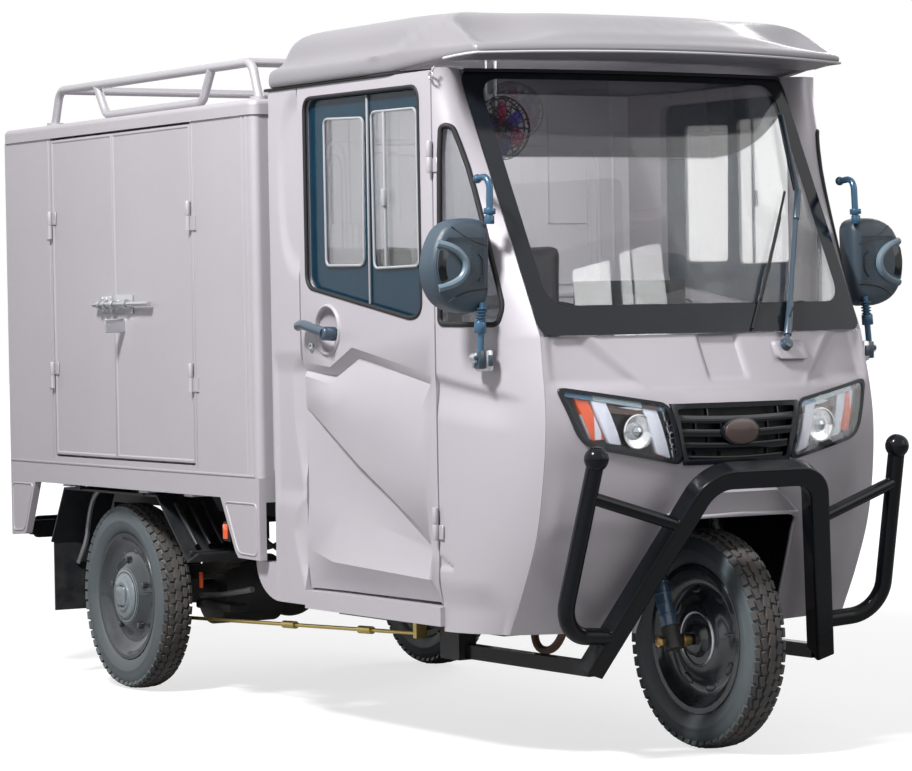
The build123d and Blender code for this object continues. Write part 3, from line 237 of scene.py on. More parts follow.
# pale grey for the rolled lips, lighter than the paint round them: a painted highlight along their lit edges
lipHighlightPaint = makeFinish("lipHighlightPaint", (0.6, 0.58, 0.62), 1200.0, 0.1, 0.35, 0.1, 0.0, Metallic=0.2)
whiteSeal = makeFinish("whiteSeal", (0.62, 0.62, 0.64), 1200.0, 0.2, 0.5, 0.1, 0.1, 0.6)
zincPlate = makeFinish("zincPlate", (0.62, 0.63, 0.65), 600.0, 0.15, 0.3, 0.2, 0.1, 0.6, Metallic=1.0)
yellowZinc = makeFinish("yellowZinc", (0.62, 0.48, 0.16), 600.0, 0.15, 0.33, 0.3, 0.15, 0.5, Metallic=1.0)
brassNut = makeFinish("brassNut", (0.62, 0.40, 0.17), 500.0, 0.2, 0.3, 0.3, 0.1, 0.4, Metallic=1.0)
darkChrome = makeFinish("darkChrome", (0.5, 0.52, 0.55), 400.0, 0.03, 0.08, 0.1, 0.0, Metallic=1.0)
rimEnamel = makeFinish(
    "rimEnamel", (0.022, 0.028, 0.034), 500.0, 0.12, 0.2, 0.4, 0.2, 0.5, (0.16, 0.15, 0.14), Coat_Weight=0.5,
)
sideRubber = makeFinish("sideRubber", (0.065, 0.080, 0.088), 700.0, 0.35, 0.5, 0.35, 0.3, 0.5, (0.19, 0.19, 0.18))
treadRubber = makeFinish("treadRubber", (0.042, 0.042, 0.044), 500.0, 0.5, 0.75, 0.5, 0.62, 0.9, (0.2, 0.155, 0.125))
seatVinyl = makeFinish("seatVinyl", (0.03, 0.03, 0.033), 1400.0, 0.6, 0.42, 0.2, 0.0)
springSteel = makeFinish("springSteel", (0.035, 0.033, 0.033), 400.0, 0.4, 0.5, 0.5, 0.5, 0.6, (0.2, 0.15, 0.1))
strutBlue = makeFinish("strutBlue", (0.07, 0.14, 0.23), 500.0, 0.1, 0.2, 0.4, 0.1, 0.4, Coat_Weight=0.5)
wiperBlue = makeFinish("wiperBlue", (0.035, 0.06, 0.09), 500.0, 0.1, 0.3, 0.3, 0.0, Coat_Weight=0.4)
amberLens = makeFinish("amberLens", (0.80, 0.10, 0.02), 350.0, 0.2, 0.15, 0.1, 0.0, Coat_Weight=0.8)
redLens = makeFinish("redLens", (0.55, 0.01, 0.012), 350.0, 0.2, 0.15, 0.1, 0.0, Coat_Weight=0.8)
lightBar = makeFinish("lightBar", (0.74, 0.75, 0.84), 300.0, 0.1, 0.25, 0.06, 0.0, Coat_Weight=0.5)
lampBowl = makeFinish("lampBowl", (0.85, 0.85, 0.85), 90.0, 0.6, 0.1, 0.2, 0.0, Metallic=1.0)
fanRed = makeFinish("fanRed", (0.42, 0.02, 0.07), 400.0, 0.1, 0.3, 0.2, 0.0, Coat_Weight=0.4)
fanBlue = makeFinish("fanBlue", (0.06, 0.05, 0.35), 400.0, 0.1, 0.3, 0.2, 0.0, Coat_Weight=0.4)
brownHose = makeFinish("brownHose", (0.12, 0.06, 0.03), 500.0, 0.2, 0.45, 0.3, 0.2, 0.5)
greySteel = makeFinish("greySteel", (0.32, 0.33, 0.35), 500.0, 0.2, 0.4, 0.3, 0.3, 0.5, Metallic=0.6)
mirrorGlass = makeFinish("mirrorGlass", (0.75, 0.78, 0.8), 300.0, 0.02, 0.05, 0.05, 0.0, Metallic=1.0)
brownDisc = makeFinish("brownDisc", (0.085, 0.05, 0.045), 500.0, 0.25, 0.3, 0.5, 0.0, Coat_Weight=0.4)
mirrorShellPaint = makeFinish("mirrorShellPaint", (0.040, 0.062, 0.085), 1400.0, 0.5, 0.4, 0.25, 0.0)
mirrorHookPaint = makeFinish("mirrorHookPaint", (0.15, 0.21, 0.26), 1400.0, 0.2, 0.35, 0.2, 0.0)
mirrorArmPaint = makeFinish("mirrorArmPaint", (0.05, 0.12, 0.2), 500.0, 0.1, 0.25, 0.3, 0.0, Metallic=0.4)


def makeGlass(name, colour, alpha, shade=None):
    finish = bpy.data.materials.new(name)
    finish.use_nodes = True
    tree = finish.node_tree
    shader = tree.nodes["Principled BSDF"]
    shader.inputs["Transmission Weight"].default_value = 1.0
    shader.inputs["IOR"].default_value = 1.45
    shader.inputs["Specular IOR Level"].default_value = 0.18
    coords = objectCoords(tree)
    smear = noiseNode(tree, coords, 9, 5, 0.6)
    newLink(tree, mathNode(tree, "MULTIPLY_ADD", smear, 0.05, 0.0, clamp=True), shader.inputs["Roughness"])
    tint = mixColours(tree, mathNode(tree, "MULTIPLY", smear, 0.25), colour, tuple(c * 0.8 for c in colour))
    if shade is None:
        newLink(tree, tint, shader.inputs["Base Color"])
        shader.inputs["Alpha"].default_value = alpha
        return finish
    # printed sun band that follows a curve across the top
    axes = tree.nodes.new("ShaderNodeSeparateXYZ")
    newLink(tree, coords, axes.inputs[0])
    over = mathNode(tree, "MAXIMUM", mathNode(tree, "SUBTRACT", axes.outputs["Y"], shade["curlStart"]), 0.0)
    rise = mathNode(tree, "MULTIPLY", mathNode(tree, "POWER", over, 2.0), shade["curl"])
    level = mathNode(tree, "SUBTRACT", axes.outputs["Z"], mathNode(tree, "ADD", rise, shade["edge"]))
    band = mathNode(tree, "MULTIPLY", level, 250.0, clamp=True)
    newLink(tree, mixColours(tree, band, tint, shade["colour"]), shader.inputs["Base Color"])
    newLink(tree, mathNode(tree, "MULTIPLY_ADD", band, shade["alpha"] - alpha, alpha), shader.inputs["Alpha"])
    return finish


sunBand = {"edge": 1.397, "curlStart": 0.12, "curl": 1.2, "colour": (0.012, 0.013, 0.015), "alpha": 0.66}
clearGlass = makeGlass("clearGlass", (0.93, 0.95, 0.95), 0.16, sunBand)
# tinted glass for the quarter panes and the right door's pane; on the right door its darker tint is also painted shade
# for the cab's dark inside, as the left door's pane takes the pale glass
tintAndShadeGlass = makeGlass("tintAndShadeGlass", (0.42, 0.47, 0.5), 0.42)
paleGlass = makeGlass("paleGlass", (0.85, 0.88, 0.9), 0.2)
lampCover = makeGlass("lampCover", (0.88, 0.93, 0.97), 0.3)
print("finishes made")


def addBox(bm, low, high, bevel=0.0, segments=2, turn=None):
    low, high = Vector(map(min, low, high)), Vector(map(max, low, high))
    middle, size = (low + high) / 2, high - low
    matrix = Matrix.Translation(middle) @ (turn or Matrix()) @ Matrix.Diagonal((*size, 1))
    made = bmesh.ops.create_cube(bm, size=1, matrix=matrix)
    if bevel:
        bevelEdges(bm, {edge for vert in made["verts"] for edge in vert.link_edges}, bevel, segments)


def bevelEdges(bm, edges, width, segments=2):
    return bmesh.ops.bevel(
        bm, geom=list(edges), offset=width, offset_type="OFFSET", segments=segments, profile=0.5,
        affect="EDGES", clamp_overlap=True, material=-1,
    )


def addRod(bm, start, end, radius, endRadius=None, sides=24, bevel=0.0):
    start, end = Vector(start), Vector(end)
    along = end - start
    matrix = Matrix.Translation((start + end) / 2) @ along.to_track_quat("Z", "Y").to_matrix().to_4x4()
    made = bmesh.ops.create_cone(
        bm, cap_ends=True, segments=sides, radius1=radius, radius2=radius if endRadius is None else endRadius,
        depth=along.length, matrix=matrix,
    )
    if bevel:
        rims = {
            edge for vert in made["verts"] for edge in vert.link_edges
            if any(len(face.verts) > 4 for face in edge.link_faces)
        }
        bevelEdges(bm, rims, bevel, 2)


def addBall(bm, centre, radius, squash=(1, 1, 1), turn=None, sides=24):
    matrix = Matrix.Translation(centre) @ (turn or Matrix()) @ Matrix.Diagonal((*squash, 1))
    return bmesh.ops.create_uvsphere(bm, u_segments=sides, v_segments=sides // 2, radius=radius, matrix=matrix)


def roundedPath(points, corner, steps=6, closed=False):
    points = [Vector(point) for point in points]
    count = len(points)
    path = []
    for index, point in enumerate(points):
        if not closed and index in (0, count - 1):
            path.append(point)
            continue
        before, after = points[index - 1] - point, points[(index + 1) % count] - point
        reach = min(corner, before.length * 0.49, after.length * 0.49)
        start, end = point + before.normalized() * reach, point + after.normalized() * reach
        path += interpolate_bezier(start, start.lerp(point, 0.56), end.lerp(point, 0.56), end, steps)
    return path


def addTube(bm, points, radius, corner=20, sides=12):
    curve = bpy.data.curves.new("run", "CURVE")
    curve.dimensions = "3D"
    path = roundedPath(points, corner)
    spline = curve.splines.new("POLY")
    spline.points.add(len(path) - 1)
    for target, point in zip(spline.points, path):
        target.co = (*point, 1)
    curve.bevel_depth = radius
    curve.bevel_resolution = max(sides // 4, 1)
    curve.use_fill_caps = True
    holder = bpy.data.objects.new("run", curve)
    mesh = bpy.data.meshes.new_from_object(holder)
    bm.from_mesh(mesh)
    bpy.data.objects.remove(holder)
    bpy.data.meshes.remove(mesh)
    bpy.data.curves.remove(curve)


def addLathe(bm, profile, centre, axis="Y", steps=64, out=1):
    # profile holds (distance along the axis, radius)
    ahead = {"X": Vector((1, 0, 0)), "Y": Vector((0, 1, 0)), "Z": Vector((0, 0, 1))}[axis]
    away = Vector((0, 0, 1)) if axis != "Z" else Vector((1, 0, 0))
    centre = Vector(centre)
    verts = [bm.verts.new(centre + ahead * along * out + away * radius) for along, radius in profile]
    edges = [bm.edges.new(pair) for pair in zip(verts, verts[1:] + verts[:1])]
    spun = bmesh.ops.spin(
        bm, geom=verts + edges, cent=centre, axis=ahead, dvec=(0, 0, 0), angle=math.tau, steps=steps, use_merge=True,
    )
    made = [face for vert in verts for face in vert.link_faces]
    shell = set(made)
    grow = list(made)
    while grow:
        face = grow.pop()
        for edge in face.edges:
            for other in edge.link_faces:
                if other not in shell:
                    shell.add(other)
                    grow.append(other)
    bmesh.ops.recalc_face_normals(bm, faces=list(shell))
    return list(shell)


def addPlate(bm, outline, level, depth, plane="XZ", bevel=0.0, segments=2):
    # outline in the plane's two axes, extruded from level by depth along the third
    build = {
        "XZ": lambda a, b, c: (a, c, b),
        "XY": lambda a, b, c: (a, b, c),
        "YZ": lambda a, b, c: (c, a, b),
    }[plane]
    verts = [bm.verts.new(build(a, b, level)) for a, b in outline]
    face = bm.faces.new(verts)
    raised = bmesh.ops.extrude_face_region(bm, geom=[face])
    moved = [item for item in raised["geom"] if isinstance(item, bmesh.types.BMVert)]
    bmesh.ops.translate(bm, verts=moved, vec=build(0, 0, depth))
    everything = list({face for vert in verts + moved for face in vert.link_faces})
    bmesh.ops.recalc_face_normals(bm, faces=everything)
    if bevel:
        tops = [face for face in everything if all(vert in moved for vert in face.verts)]
        bevelEdges(bm, {edge for face in tops for edge in face.edges}, bevel, segments)
    return verts, moved


def flatOutline(points, corner, steps=5):
    rounded = roundedPath([(a, b, 0) for a, b in points], corner, steps, closed=True)
    return [(point.x, point.y) for point in rounded]


def asObject(bm, name):
    mesh = bpy.data.meshes.new(name)
    bm.to_mesh(mesh)
    made = bpy.data.objects.new(name, mesh)
    bpy.context.scene.collection.objects.link(made)
    return made


def pushOut(bm, faces, vec=(0, 0, 0)):
    # extrudes a sheet that stays in place and gives the new vertices
    raised = bmesh.ops.extrude_face_region(bm, geom=faces, use_keep_orig=True)
    moved = [item for item in raised["geom"] if isinstance(item, bmesh.types.BMVert)]
    bmesh.ops.translate(bm, verts=moved, vec=vec)
    return moved


def carve(bm, cutter, operation="DIFFERENCE"):
    body, tool = asObject(bm, "carved"), asObject(cutter, "cutter")
    change = body.modifiers.new("cut", "BOOLEAN")
    change.operation = operation
    change.solver = "EXACT"
    change.object = tool
    bpy.context.view_layer.update()
    result = body.evaluated_get(bpy.context.evaluated_depsgraph_get()).to_mesh()
    bm.clear()
    bm.from_mesh(result)
    for item in (body, tool):
        mesh = item.data
        bpy.data.objects.remove(item)
        bpy.data.meshes.remove(mesh)
    cutter.free()


def turnLeft(bm):
    bmesh.ops.scale(bm, vec=(1, -1, 1), verts=bm.verts)
    bmesh.ops.reverse_faces(bm, faces=bm.faces)


def carvePlate(bm, outline, level, depth, plane="XZ", operation="DIFFERENCE"):
    cutter = bmesh.new()
    addPlate(cutter, outline, level, depth, plane)
    carve(bm, cutter, operation)


def addRing(bm, ring, radius, corner=1, sides=8):
    addTube(bm, ring + [ring[0]], radius, corner, sides)


def finishPiece(name, bm, finishes, body, stands=(), sharp=32):
    bmesh.ops.scale(bm, vec=(0.001, 0.001, 0.001), verts=bm.verts)
    for face in bm.faces:
        face.smooth = True
    for edge in bm.edges:
        edge.smooth = edge.calc_face_angle(0) < math.radians(sharp)
    piece = asObject(bm, name)
    bm.free()
    for finish in finishes if isinstance(finishes, (list, tuple)) else [finishes]:
        piece.data.materials.append(finish)
    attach(piece, body)
    if stands:
        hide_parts(*stands)
    return piece


@contextmanager
def painted(bm, index):
    # faces made inside the block take the finish with this index
    before = len(bm.faces)
    yield
    for face in list(bm.faces)[before:]:
        face.material_index = index


def dress(finish, *names):
    for name in names:
        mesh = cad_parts[name].data
        for index in range(max(len(mesh.materials), 1)):
            if index < len(mesh.materials):
                mesh.materials[index] = finish
            else:
                mesh.materials.append(finish)


dress(framePaint, "chassis_frame", "mudguards", "rear_bar")
dress(mouldedBlack, "battery_pack", "wheel_arch_liner", "tail_lamps", "dashboard", "wiper", "mirrors", "fan")
dress(
    boxPaint, "cargo_floor", "cargo_walls", "cargo_roof", "side_leaf_rear", "side_leaf_front", "rear_door_right",
    "rear_door_left",
)
dress(rackPaint, "roof_rack")
dress(
    bodyPaint, "quarter_panels", "side_panels", "front_fascia", "cab_roof", "cab_door_right", "cab_door_left",
    "cab_floor",
)
# the rear wall's pale paint is partly painted light for the daylight inside the cab
dress(cabinPaint, "cab_rear_wall")
dress(yellowZinc, "brake_rod")
dress(axlePaint, "rear_axle", "front_fork", "seat_base")
dress(springSteel, "leaf_springs")
dress(strutBlue, "front_struts")
dress(guardPaint, "front_guard")
dress(mouldedBlack, "handlebar", "grille")
dress(seatVinyl, "seat_cushions")
dress(clearGlass, "windshield")
dress(lampCover, "headlights")
# the right door's pane is darker than the left door's: painted shade of the cab's inside seen through it
dress(tintAndShadeGlass, "quarter_glass", "door_glass_right")
dress(paleGlass, "door_glass_left")
dress(sideRubber, "front_tyre", "rear_tyre_right", "rear_tyre_left")
dress(rimEnamel, "front_rim", "rear_rim_right", "rear_rim_left")
print("frame pieces dressed")

# Wheels
wheels = {
    "front": {
        "x": trike["frontAxle"], "y": 0, "out": -1, "body": "front_wheel", "tyre": "front_tyre", "rim": "front_rim",
    },
    "right": {
        "x": trike["rearAxle"], "y": -trike["wheelHalf"], "out": -1, "body": "rear_wheel_right",
        "tyre": "rear_tyre_right", "rim": "rear_rim_right",
    },
    "left": {
        "x": trike["rearAxle"], "y": trike["wheelHalf"], "out": 1, "body": "rear_wheel_left",
        "tyre": "rear_tyre_left", "rim": "rear_rim_left",
    },
}
tyre = {
    "outside": [
        (-30, 176.8), (-35, 180), (-40, 188), (-44.5, 199), (-45.5, 207), (-46, 208.5), (-46, 212.5), (-45.4, 214),
        (-44.6, 224), (-42.5, 234), (-39.8, 241), (-35, 247), (-27, 251), (-14, 253.5),
    ],
    "inside": [(22, 181), (34, 200), (33, 222), (20, 238), (0, 243)],
    "pitches": 54,
    # columns: across, turn in degrees, length round, width across, slant in degrees, height of the top
    "blocks": [
        (-36, 0.0, 22, 13, 6, 253.2), (36, 3.3, 22, 13, -6, 253.2),
        (-20, 1.8, 25, 14, 16, 257.6), (20, 5.0, 25, 14, -16, 257.6),
        (0, 0.4, 25, 18, -14, 259), (0, 3.7, 12, 11, 20, 258.4),
    ],
}


def makeTyre(name, wheel):
    bm = bmesh.new()
    outside = tyre["outside"] + [(0, 254)] + [(-a, r) for a, r in reversed(tyre["outside"])]
    inside = tyre["inside"] + [(-a, r) for a, r in reversed(tyre["inside"][:-1])]
    centre = Vector((wheel["x"], wheel["y"], trike["axleHeight"]))
    addLathe(bm, outside + inside, centre, steps=96)
    start = set(bm.verts)
    for across, degrees, length, width, slant, top in tyre["blocks"]:
        lean = math.radians(26) * (1 if across > 0 else -1) if abs(across) > 30 else 0
        place = (
            Matrix.Translation(centre) @ Matrix.Rotation(math.radians(degrees), 4, "Y")
            @ Matrix.Translation((0, across, top - 6)) @ Matrix.Rotation(-lean, 4, "X")
            @ Matrix.Rotation(math.radians(slant), 4, "Z") @ Matrix.Diagonal((length, width, 12, 1))
        )
        made = bmesh.ops.create_cube(bm, size=1, matrix=place)
        outer = {
            edge for vert in made["verts"] for edge in vert.link_edges
            if all((v.co - centre).xz.length > top - 5 for v in edge.verts)
        }
        bevelEdges(bm, outer, 1.0, 1)
    block = [vert for vert in bm.verts if vert not in start]
    edges = {edge for vert in block for edge in vert.link_edges}
    faces = {face for vert in block for face in vert.link_faces}
    pieces = [*block, *edges, *faces]
    bmesh.ops.spin(
        bm, geom=pieces, cent=centre, axis=(0, 1, 0), dvec=(0, 0, 0), angle=math.tau * (1 - 1 / tyre["pitches"]),
        steps=tyre["pitches"] - 1, use_duplicate=True,
    )
    for face in bm.faces:
        if (face.calc_center_median() - centre).xz.length > 250:
            face.material_index = 1
    return finishPiece(name, bm, [sideRubber, treadRubber], wheel["body"], [wheel["tyre"]], 40)


# flanges and bed of every rim: distance along the axis, radius
rimBed = [
    (-36, 160), (-36, 176), (-34, 177.5), (-32, 176), (-31, 171), (-30, 168.2), (-12, 166), (-6, 160.5), (6, 160.5),
    (12, 166), (30, 168.2), (31, 171), (32, 176), (34, 177.5), (36, 176),
]
rearRim = {
    "dish": [
        *rimBed, (36, 166), (34, 163.5), (24, 157), (19, 150), (14, 138), (12.5, 124), (14, 112), (20, 101), (27, 93),
        (33, 84), (38, 76), (40, 66), (40, 44), (38, 40), (20, 40), (20, 24), (-22, 24), (-22, 62), (6, 72), (4, 116),
        (10, 154), (-6, 156),
    ],
    "boltCircle": 101,
    "bolts": 5,
    "slots": 10,
    "cap": [
        (24, 0.5), (26, 79), (33, 80), (37, 78), (39, 72), (40, 64), (44, 61), (45.5, 58), (45.5, 46), (47, 43),
        (50, 41), (51, 37), (50, 31), (46, 28), (46, 16), (47, 0.5),
    ],
}
frontRim = {
    "dish": [
        *rimBed, (36, 163), (28, 158), (18, 150), (12, 138), (8, 122), (9, 106), (16, 95), (24, 86), (27, 78),
        (27, 44), (34, 40), (43, 37), (45, 34), (45, 12), (20, 12),
        (-20, 12), (-45, 12), (-45, 34), (-43, 37), (-34, 40), (-27, 44), (-27, 78), (-24, 86), (-16, 92), (-4, 104),
        (-2, 122), (-2, 140), (-6, 154),
    ],
}


def makeRim(name, wheel):
    bm = bmesh.new()
    centre = Vector((wheel["x"], wheel["y"], trike["axleHeight"]))
    front = wheel["body"] == "front_wheel"
    shape = frontRim if front else rearRim
    addLathe(bm, shape["dish"], centre, steps=96, out=wheel["out"])
    out = wheel["out"]
    if front:
        # pressed slots round the disc
        for index in range(8):
            angle = math.radians(index * 45 + 12)
            spot = centre + Vector((math.cos(angle) * 118, out * 9.5, math.sin(angle) * 118))
            turn = Matrix.Rotation(-angle, 4, "Y")
            addBall(bm, spot, 15, (0.62, 0.18, 1.25), turn, 20)
        with painted(bm, 2):
            for side in (-1, 1):
                addLathe(bm, [(27.5, 60), (30, 61), (31, 64), (29, 67), (26, 68)], centre, steps=48, out=side)
    else:
        for index in range(rearRim["slots"]):
            angle = math.radians(index * 36 + 9)
            spot = centre + Vector((math.cos(angle) * 124, out * 11.5, math.sin(angle) * 124))
            addBall(bm, spot, 13, (0.7, 0.16, 1.15), Matrix.Rotation(-angle, 4, "Y"), 20)
        with painted(bm, 1):
            addLathe(bm, rearRim["cap"], centre, steps=64, out=out)
            addBox(bm, centre + Vector((-25, out * 44, -27)), centre + Vector((25, out * 57, 27)), 6, 3)
        for index in range(rearRim["bolts"]):
            angle = math.radians(index * 72 + 20)
            spot = centre + Vector(
                (math.cos(angle) * rearRim["boltCircle"], 0, math.sin(angle) * rearRim["boltCircle"])
            )
            addRod(bm, spot + Vector((0, out * 16, 0)), spot + Vector((0, out * 32, 0)), 9, 8.4, 6, 0.8)
    valve = centre + Vector((150, out * 26, 20))
    addRod(bm, valve, valve + Vector((-20, out * 16, 0)), 4, 3, 12)
    return finishPiece(name, bm, [rimEnamel, hubPaint, zincPlate], wheel["body"], [wheel["rim"]], 35)


for label, wheel in wheels.items():
    makeTyre(f"{label}TyreTread", wheel)
    makeRim(f"{label}RimDish", wheel)
print("wheels made")

# Spring struts along the raked steering axis, with the axle nuts outside them
fork = {"rake": 20, "offset": 45, "legY": 98}


def alongFork(distance, y):
    lean = math.radians(fork["rake"])
    ahead = fork["offset"] * math.cos(lean)
    x = trike["frontAxle"] - fork["offset"] + ahead * math.cos(lean) - distance * math.sin(lean)
    return Vector((x, y, trike["axleHeight"] + ahead * math.sin(lean) + distance * math.cos(lean)))


def makeStruts():
    lower, upper, nuts = bmesh.new(), bmesh.new(), bmesh.new()
    start = -fork["offset"] * math.sin(math.radians(fork["rake"]))
    for side in (-1, 1):
        y = side * fork["legY"]
        addRod(lower, alongFork(start + 35, y), alongFork(start + 168, y), 20, 19, 28, 2)
        for step in range(4):
            addRod(lower, alongFork(start + 60 + step * 26, y), alongFork(start + 66 + step * 26, y), 21, 21, 28, 1)
        addRod(upper, alongFork(start + 168, y), alongFork(284, y), 14.5, 14.5, 28)
        addRod(upper, alongFork(start + 160, y), alongFork(start + 176, y), 18, 16, 28, 2)
        # hexagon outside the strut and round spacer inside it: nearest and farthest y, radius, sides, bevel
        for near, far, radius, sides, bevel in ((128, 140, 14, 6, 1.2), (52, 74, 15.5, 24, 1.5)):
            low, high = sorted((side * near, side * far))
            x, z = trike["frontAxle"], trike["axleHeight"]
            addRod(nuts, (x, low, z), (x, high, z), radius, radius, sides, bevel)
    finishPiece("strutLowers", lower, strutBlue, "steering", ["front_struts"], 40)
    finishPiece("strutUppers", upper, zincPlate, "steering", ["front_struts"], 40)
    finishPiece("axleNuts", nuts, brassNut, "steering", [], 40)


makeStruts()

# Nose surface. Columns: height, seam from the front axle, seam half width, middle from the front axle
noseRows = [
    (290, -102, 483, 16), (400, -42, 481, 70), (520, 10, 478, 112),
    (660, 38, 475, 134), (800, 44, 470, 140), (979, 14, 462, 62),
]
glassRows = [(979.3, 14, 462, 62), (1611.7, -309, 473, -262)]


def rowAt(rows, z):
    z = min(max(z, rows[0][0]), rows[-1][0])
    index = max(i for i in range(len(rows) - 1) if rows[i][0] <= z)
    low, high = rows[index], rows[index + 1]
    before, after = rows[max(index - 1, 0)], rows[min(index + 2, len(rows) - 1)]
    t = (z - low[0]) / (high[0] - low[0])
    values = []
    for column in range(1, len(low)):
        a, b = low[column], high[column]
        gapLow = (b - before[column]) / max(high[0] - before[0], 1) * (high[0] - low[0])
        gapHigh = (after[column] - a) / max(after[0] - low[0], 1) * (high[0] - low[0])
        values.append(
            (2 * t**3 - 3 * t**2 + 1) * a + (t**3 - 2 * t**2 + t) * gapLow
            + (3 * t**2 - 2 * t**3) * b + (t**3 - t**2) * gapHigh
        )
    return values


def noseX(y, z, rows=noseRows):
    seam, half, middle = rowAt(rows, z)
    sag = middle - seam
    radius = (half**2 + sag**2) / (2 * sag)
    return trike["frontAxle"] + middle - radius + math.sqrt(max(radius**2 - y**2, 0))


def ease(value):
    value = min(max(value, 0), 1)
    return value * value * (3 - 2 * value)


def solidBack(bm, vec):
    # gives an open sheet its thickness towards vec and closes its rim
    pushOut(bm, bm.faces[:], vec)
    bmesh.ops.recalc_face_normals(bm, faces=bm.faces)


def lineAt(value, *points):
    if value <= points[0][0]:
        return points[0][1]
    for (a, b), (c, d) in zip(points, points[1:]):
        if value <= c:
            return b + (d - b) * (value - a) / (c - a)
    return points[-1][1]


nose = {
    "low": 290, "tall": 688.7,
    "stripInner": (225, 318), "stripOuter": (250, 366), "stripLow": 862, "stripHigh": 962, "stripDrop": 13,
    "scoopHalf": 60, "scoopDepth": 9, "scoopLow": 864, "sill": 851, "browHalf": 176, "browTop": 108,
    "arch": [(-150, 558), (-176, 545), (-205, 280), (-205, 200), (205, 200), (205, 280), (176, 545), (150, 558)],
    "lamp": [(186, 822), (447, 866), (404, 746), (376, 722), (152, 677)],
    "grille": [(-184, 820), (184, 820), (150, 677), (-150, 677)],
}


def noseRelief(y, z):
    across = abs(y)
    relief = 0.0
    if z > nose["sill"] - 8:
        # raised middle of the hood with a sloped strip down each side and a sunk scoop
        rise = (z - nose["stripLow"]) / (nose["stripHigh"] - nose["stripLow"])
        inner = nose["stripInner"][0] + (nose["stripInner"][1] - nose["stripInner"][0]) * rise
        outer = nose["stripOuter"][0] + (nose["stripOuter"][1] - nose["stripOuter"][0]) * rise
        relief -= nose["stripDrop"] * min(max((across - inner) / (outer - inner), 0), 1) * ease((z - 846) / 34)
        scoop = min(max((nose["scoopHalf"] - across) / 11, 0), 1)
        relief -= nose["scoopDepth"] * scoop * ease((z - nose["scoopLow"]) / 20)
        relief -= 5 * min(max((z - nose["sill"]) / 9, 0), 1) * min(max((inner + 8 - across) / 14, 0), 1)
    relief += 10 * ease((across - 130) / 120) * ease((700 - z) / 120) * ease((z - 500) / 60) * 0.4
    # brow over the wheel arch
    edge = lineAt(z, (560, nose["browHalf"]), (614, nose["browTop"]))
    brow = ease((edge + 10 - across) / 16) * ease((624 - z) / 12)
    relief += 26 * brow * (1 if z > 545 else ease((z - 500) / 45))
    return relief


def makeFascia():
    bm = bmesh.new()
    bmesh.ops.create_grid(bm, x_segments=150, y_segments=124, size=0.5)
    for vert in bm.verts:
        z = nose["low"] + (vert.co.y + 0.5) * nose["tall"]
        half = rowAt(noseRows, z)[1] - 0.5
        y = vert.co.x * 2 * half
        vert.co = (noseX(y, z) + noseRelief(y, z) * ease((half - abs(y)) / 40), y, z)
    solidBack(bm, (-7, 0, 0))
    carvePlate(bm, flatOutline(nose["arch"], 26, 6), 800, 800, "YZ")
    lampCut = flatOutline(nose["lamp"], 22, 5)
    for outline in (nose["grille"], lampCut, [(-y, z) for y, z in lampCut]):
        carvePlate(bm, outline, 1000, 500, "YZ")
    # rolled lip round the wheel arch
    lip = [(noseX(y, z) + noseRelief(y, z) - 3, y, z) for y, z in flatOutline(nose["arch"], 26, 6) if z > 285]
    lip.sort(key=lambda point: point[1])
    addTube(bm, lip, 5, 4, 8)
    # pale tube along the brow's lower edge, its light colour a painted highlight on the dark grey lip
    low = [(noseX(y, 560) + 24, y, 562 - abs(y) / 30) for y in range(-178, 179, 12)]
    edge = bmesh.new()
    addTube(edge, low, 5, 3, 10)
    finishPiece("browLip", edge, lipHighlightPaint, "vehicle", [], 60)
    return finishPiece("noseShell", bm, bodyPaint, "vehicle", ["front_fascia"], 30)


makeFascia()


def onNose(bm, verts, proud):
    # lays flat outline vertices (their y and z) on the nose surface
    for vert in verts:
        vert.co.x = noseX(vert.co.y, vert.co.z) + proud


def addPatch(bm, outline, proud, thick, bevel=0.0, grid=14.0):
    # a plate cut to outline that follows the nose
    verts = [bm.verts.new((0, y, z)) for y, z in outline]
    face = bm.faces.new(verts)
    low = min(y for y, z in outline)
    high = max(y for y, z in outline)
    sheet = [face]
    geom = list(verts) + list(face.edges) + [face]
    cut = low + grid
    while cut < high:
        result = bmesh.ops.bisect_plane(bm, geom=geom, dist=0.001, plane_co=(0, cut, 0), plane_no=(0, 1, 0))
        geom = result["geom"]
        cut += grid
    verts = [item for item in geom if isinstance(item, bmesh.types.BMVert)]
    sheet = [item for item in geom if isinstance(item, bmesh.types.BMFace)]
    onNose(bm, verts, proud)
    moved = pushOut(bm, sheet, (-thick, 0, 0))
    everything = list({face for vert in verts + moved for face in vert.link_faces})
    bmesh.ops.recalc_face_normals(bm, faces=everything)
    if bevel:
        fronts = set(verts)
        rim = {
            edge for face in everything for edge in face.edges
            if all(v in fronts for v in edge.verts) and edge.calc_face_angle(0) > 1.0
        }
        bevelEdges(bm, rim, bevel, 2)


def insetOutline(outline, amount):
    centre = Vector((sum(y for y, z in outline), sum(z for y, z in outline))) / len(outline)
    count = len(outline)
    result = []
    for index in range(count):
        point = Vector(outline[index])
        before = (point - Vector(outline[index - 1])).normalized()
        after = (Vector(outline[(index + 1) % count]) - point).normalized()
        normal = Vector((-(before + after).y, (before + after).x)).normalized()
        if normal.dot(centre - point) < 0:
            normal.negate()
        bend = max(abs(Vector((-before.y, before.x)).dot(normal)), 0.4)
        result.append(tuple(point + normal * amount / bend))
    return result


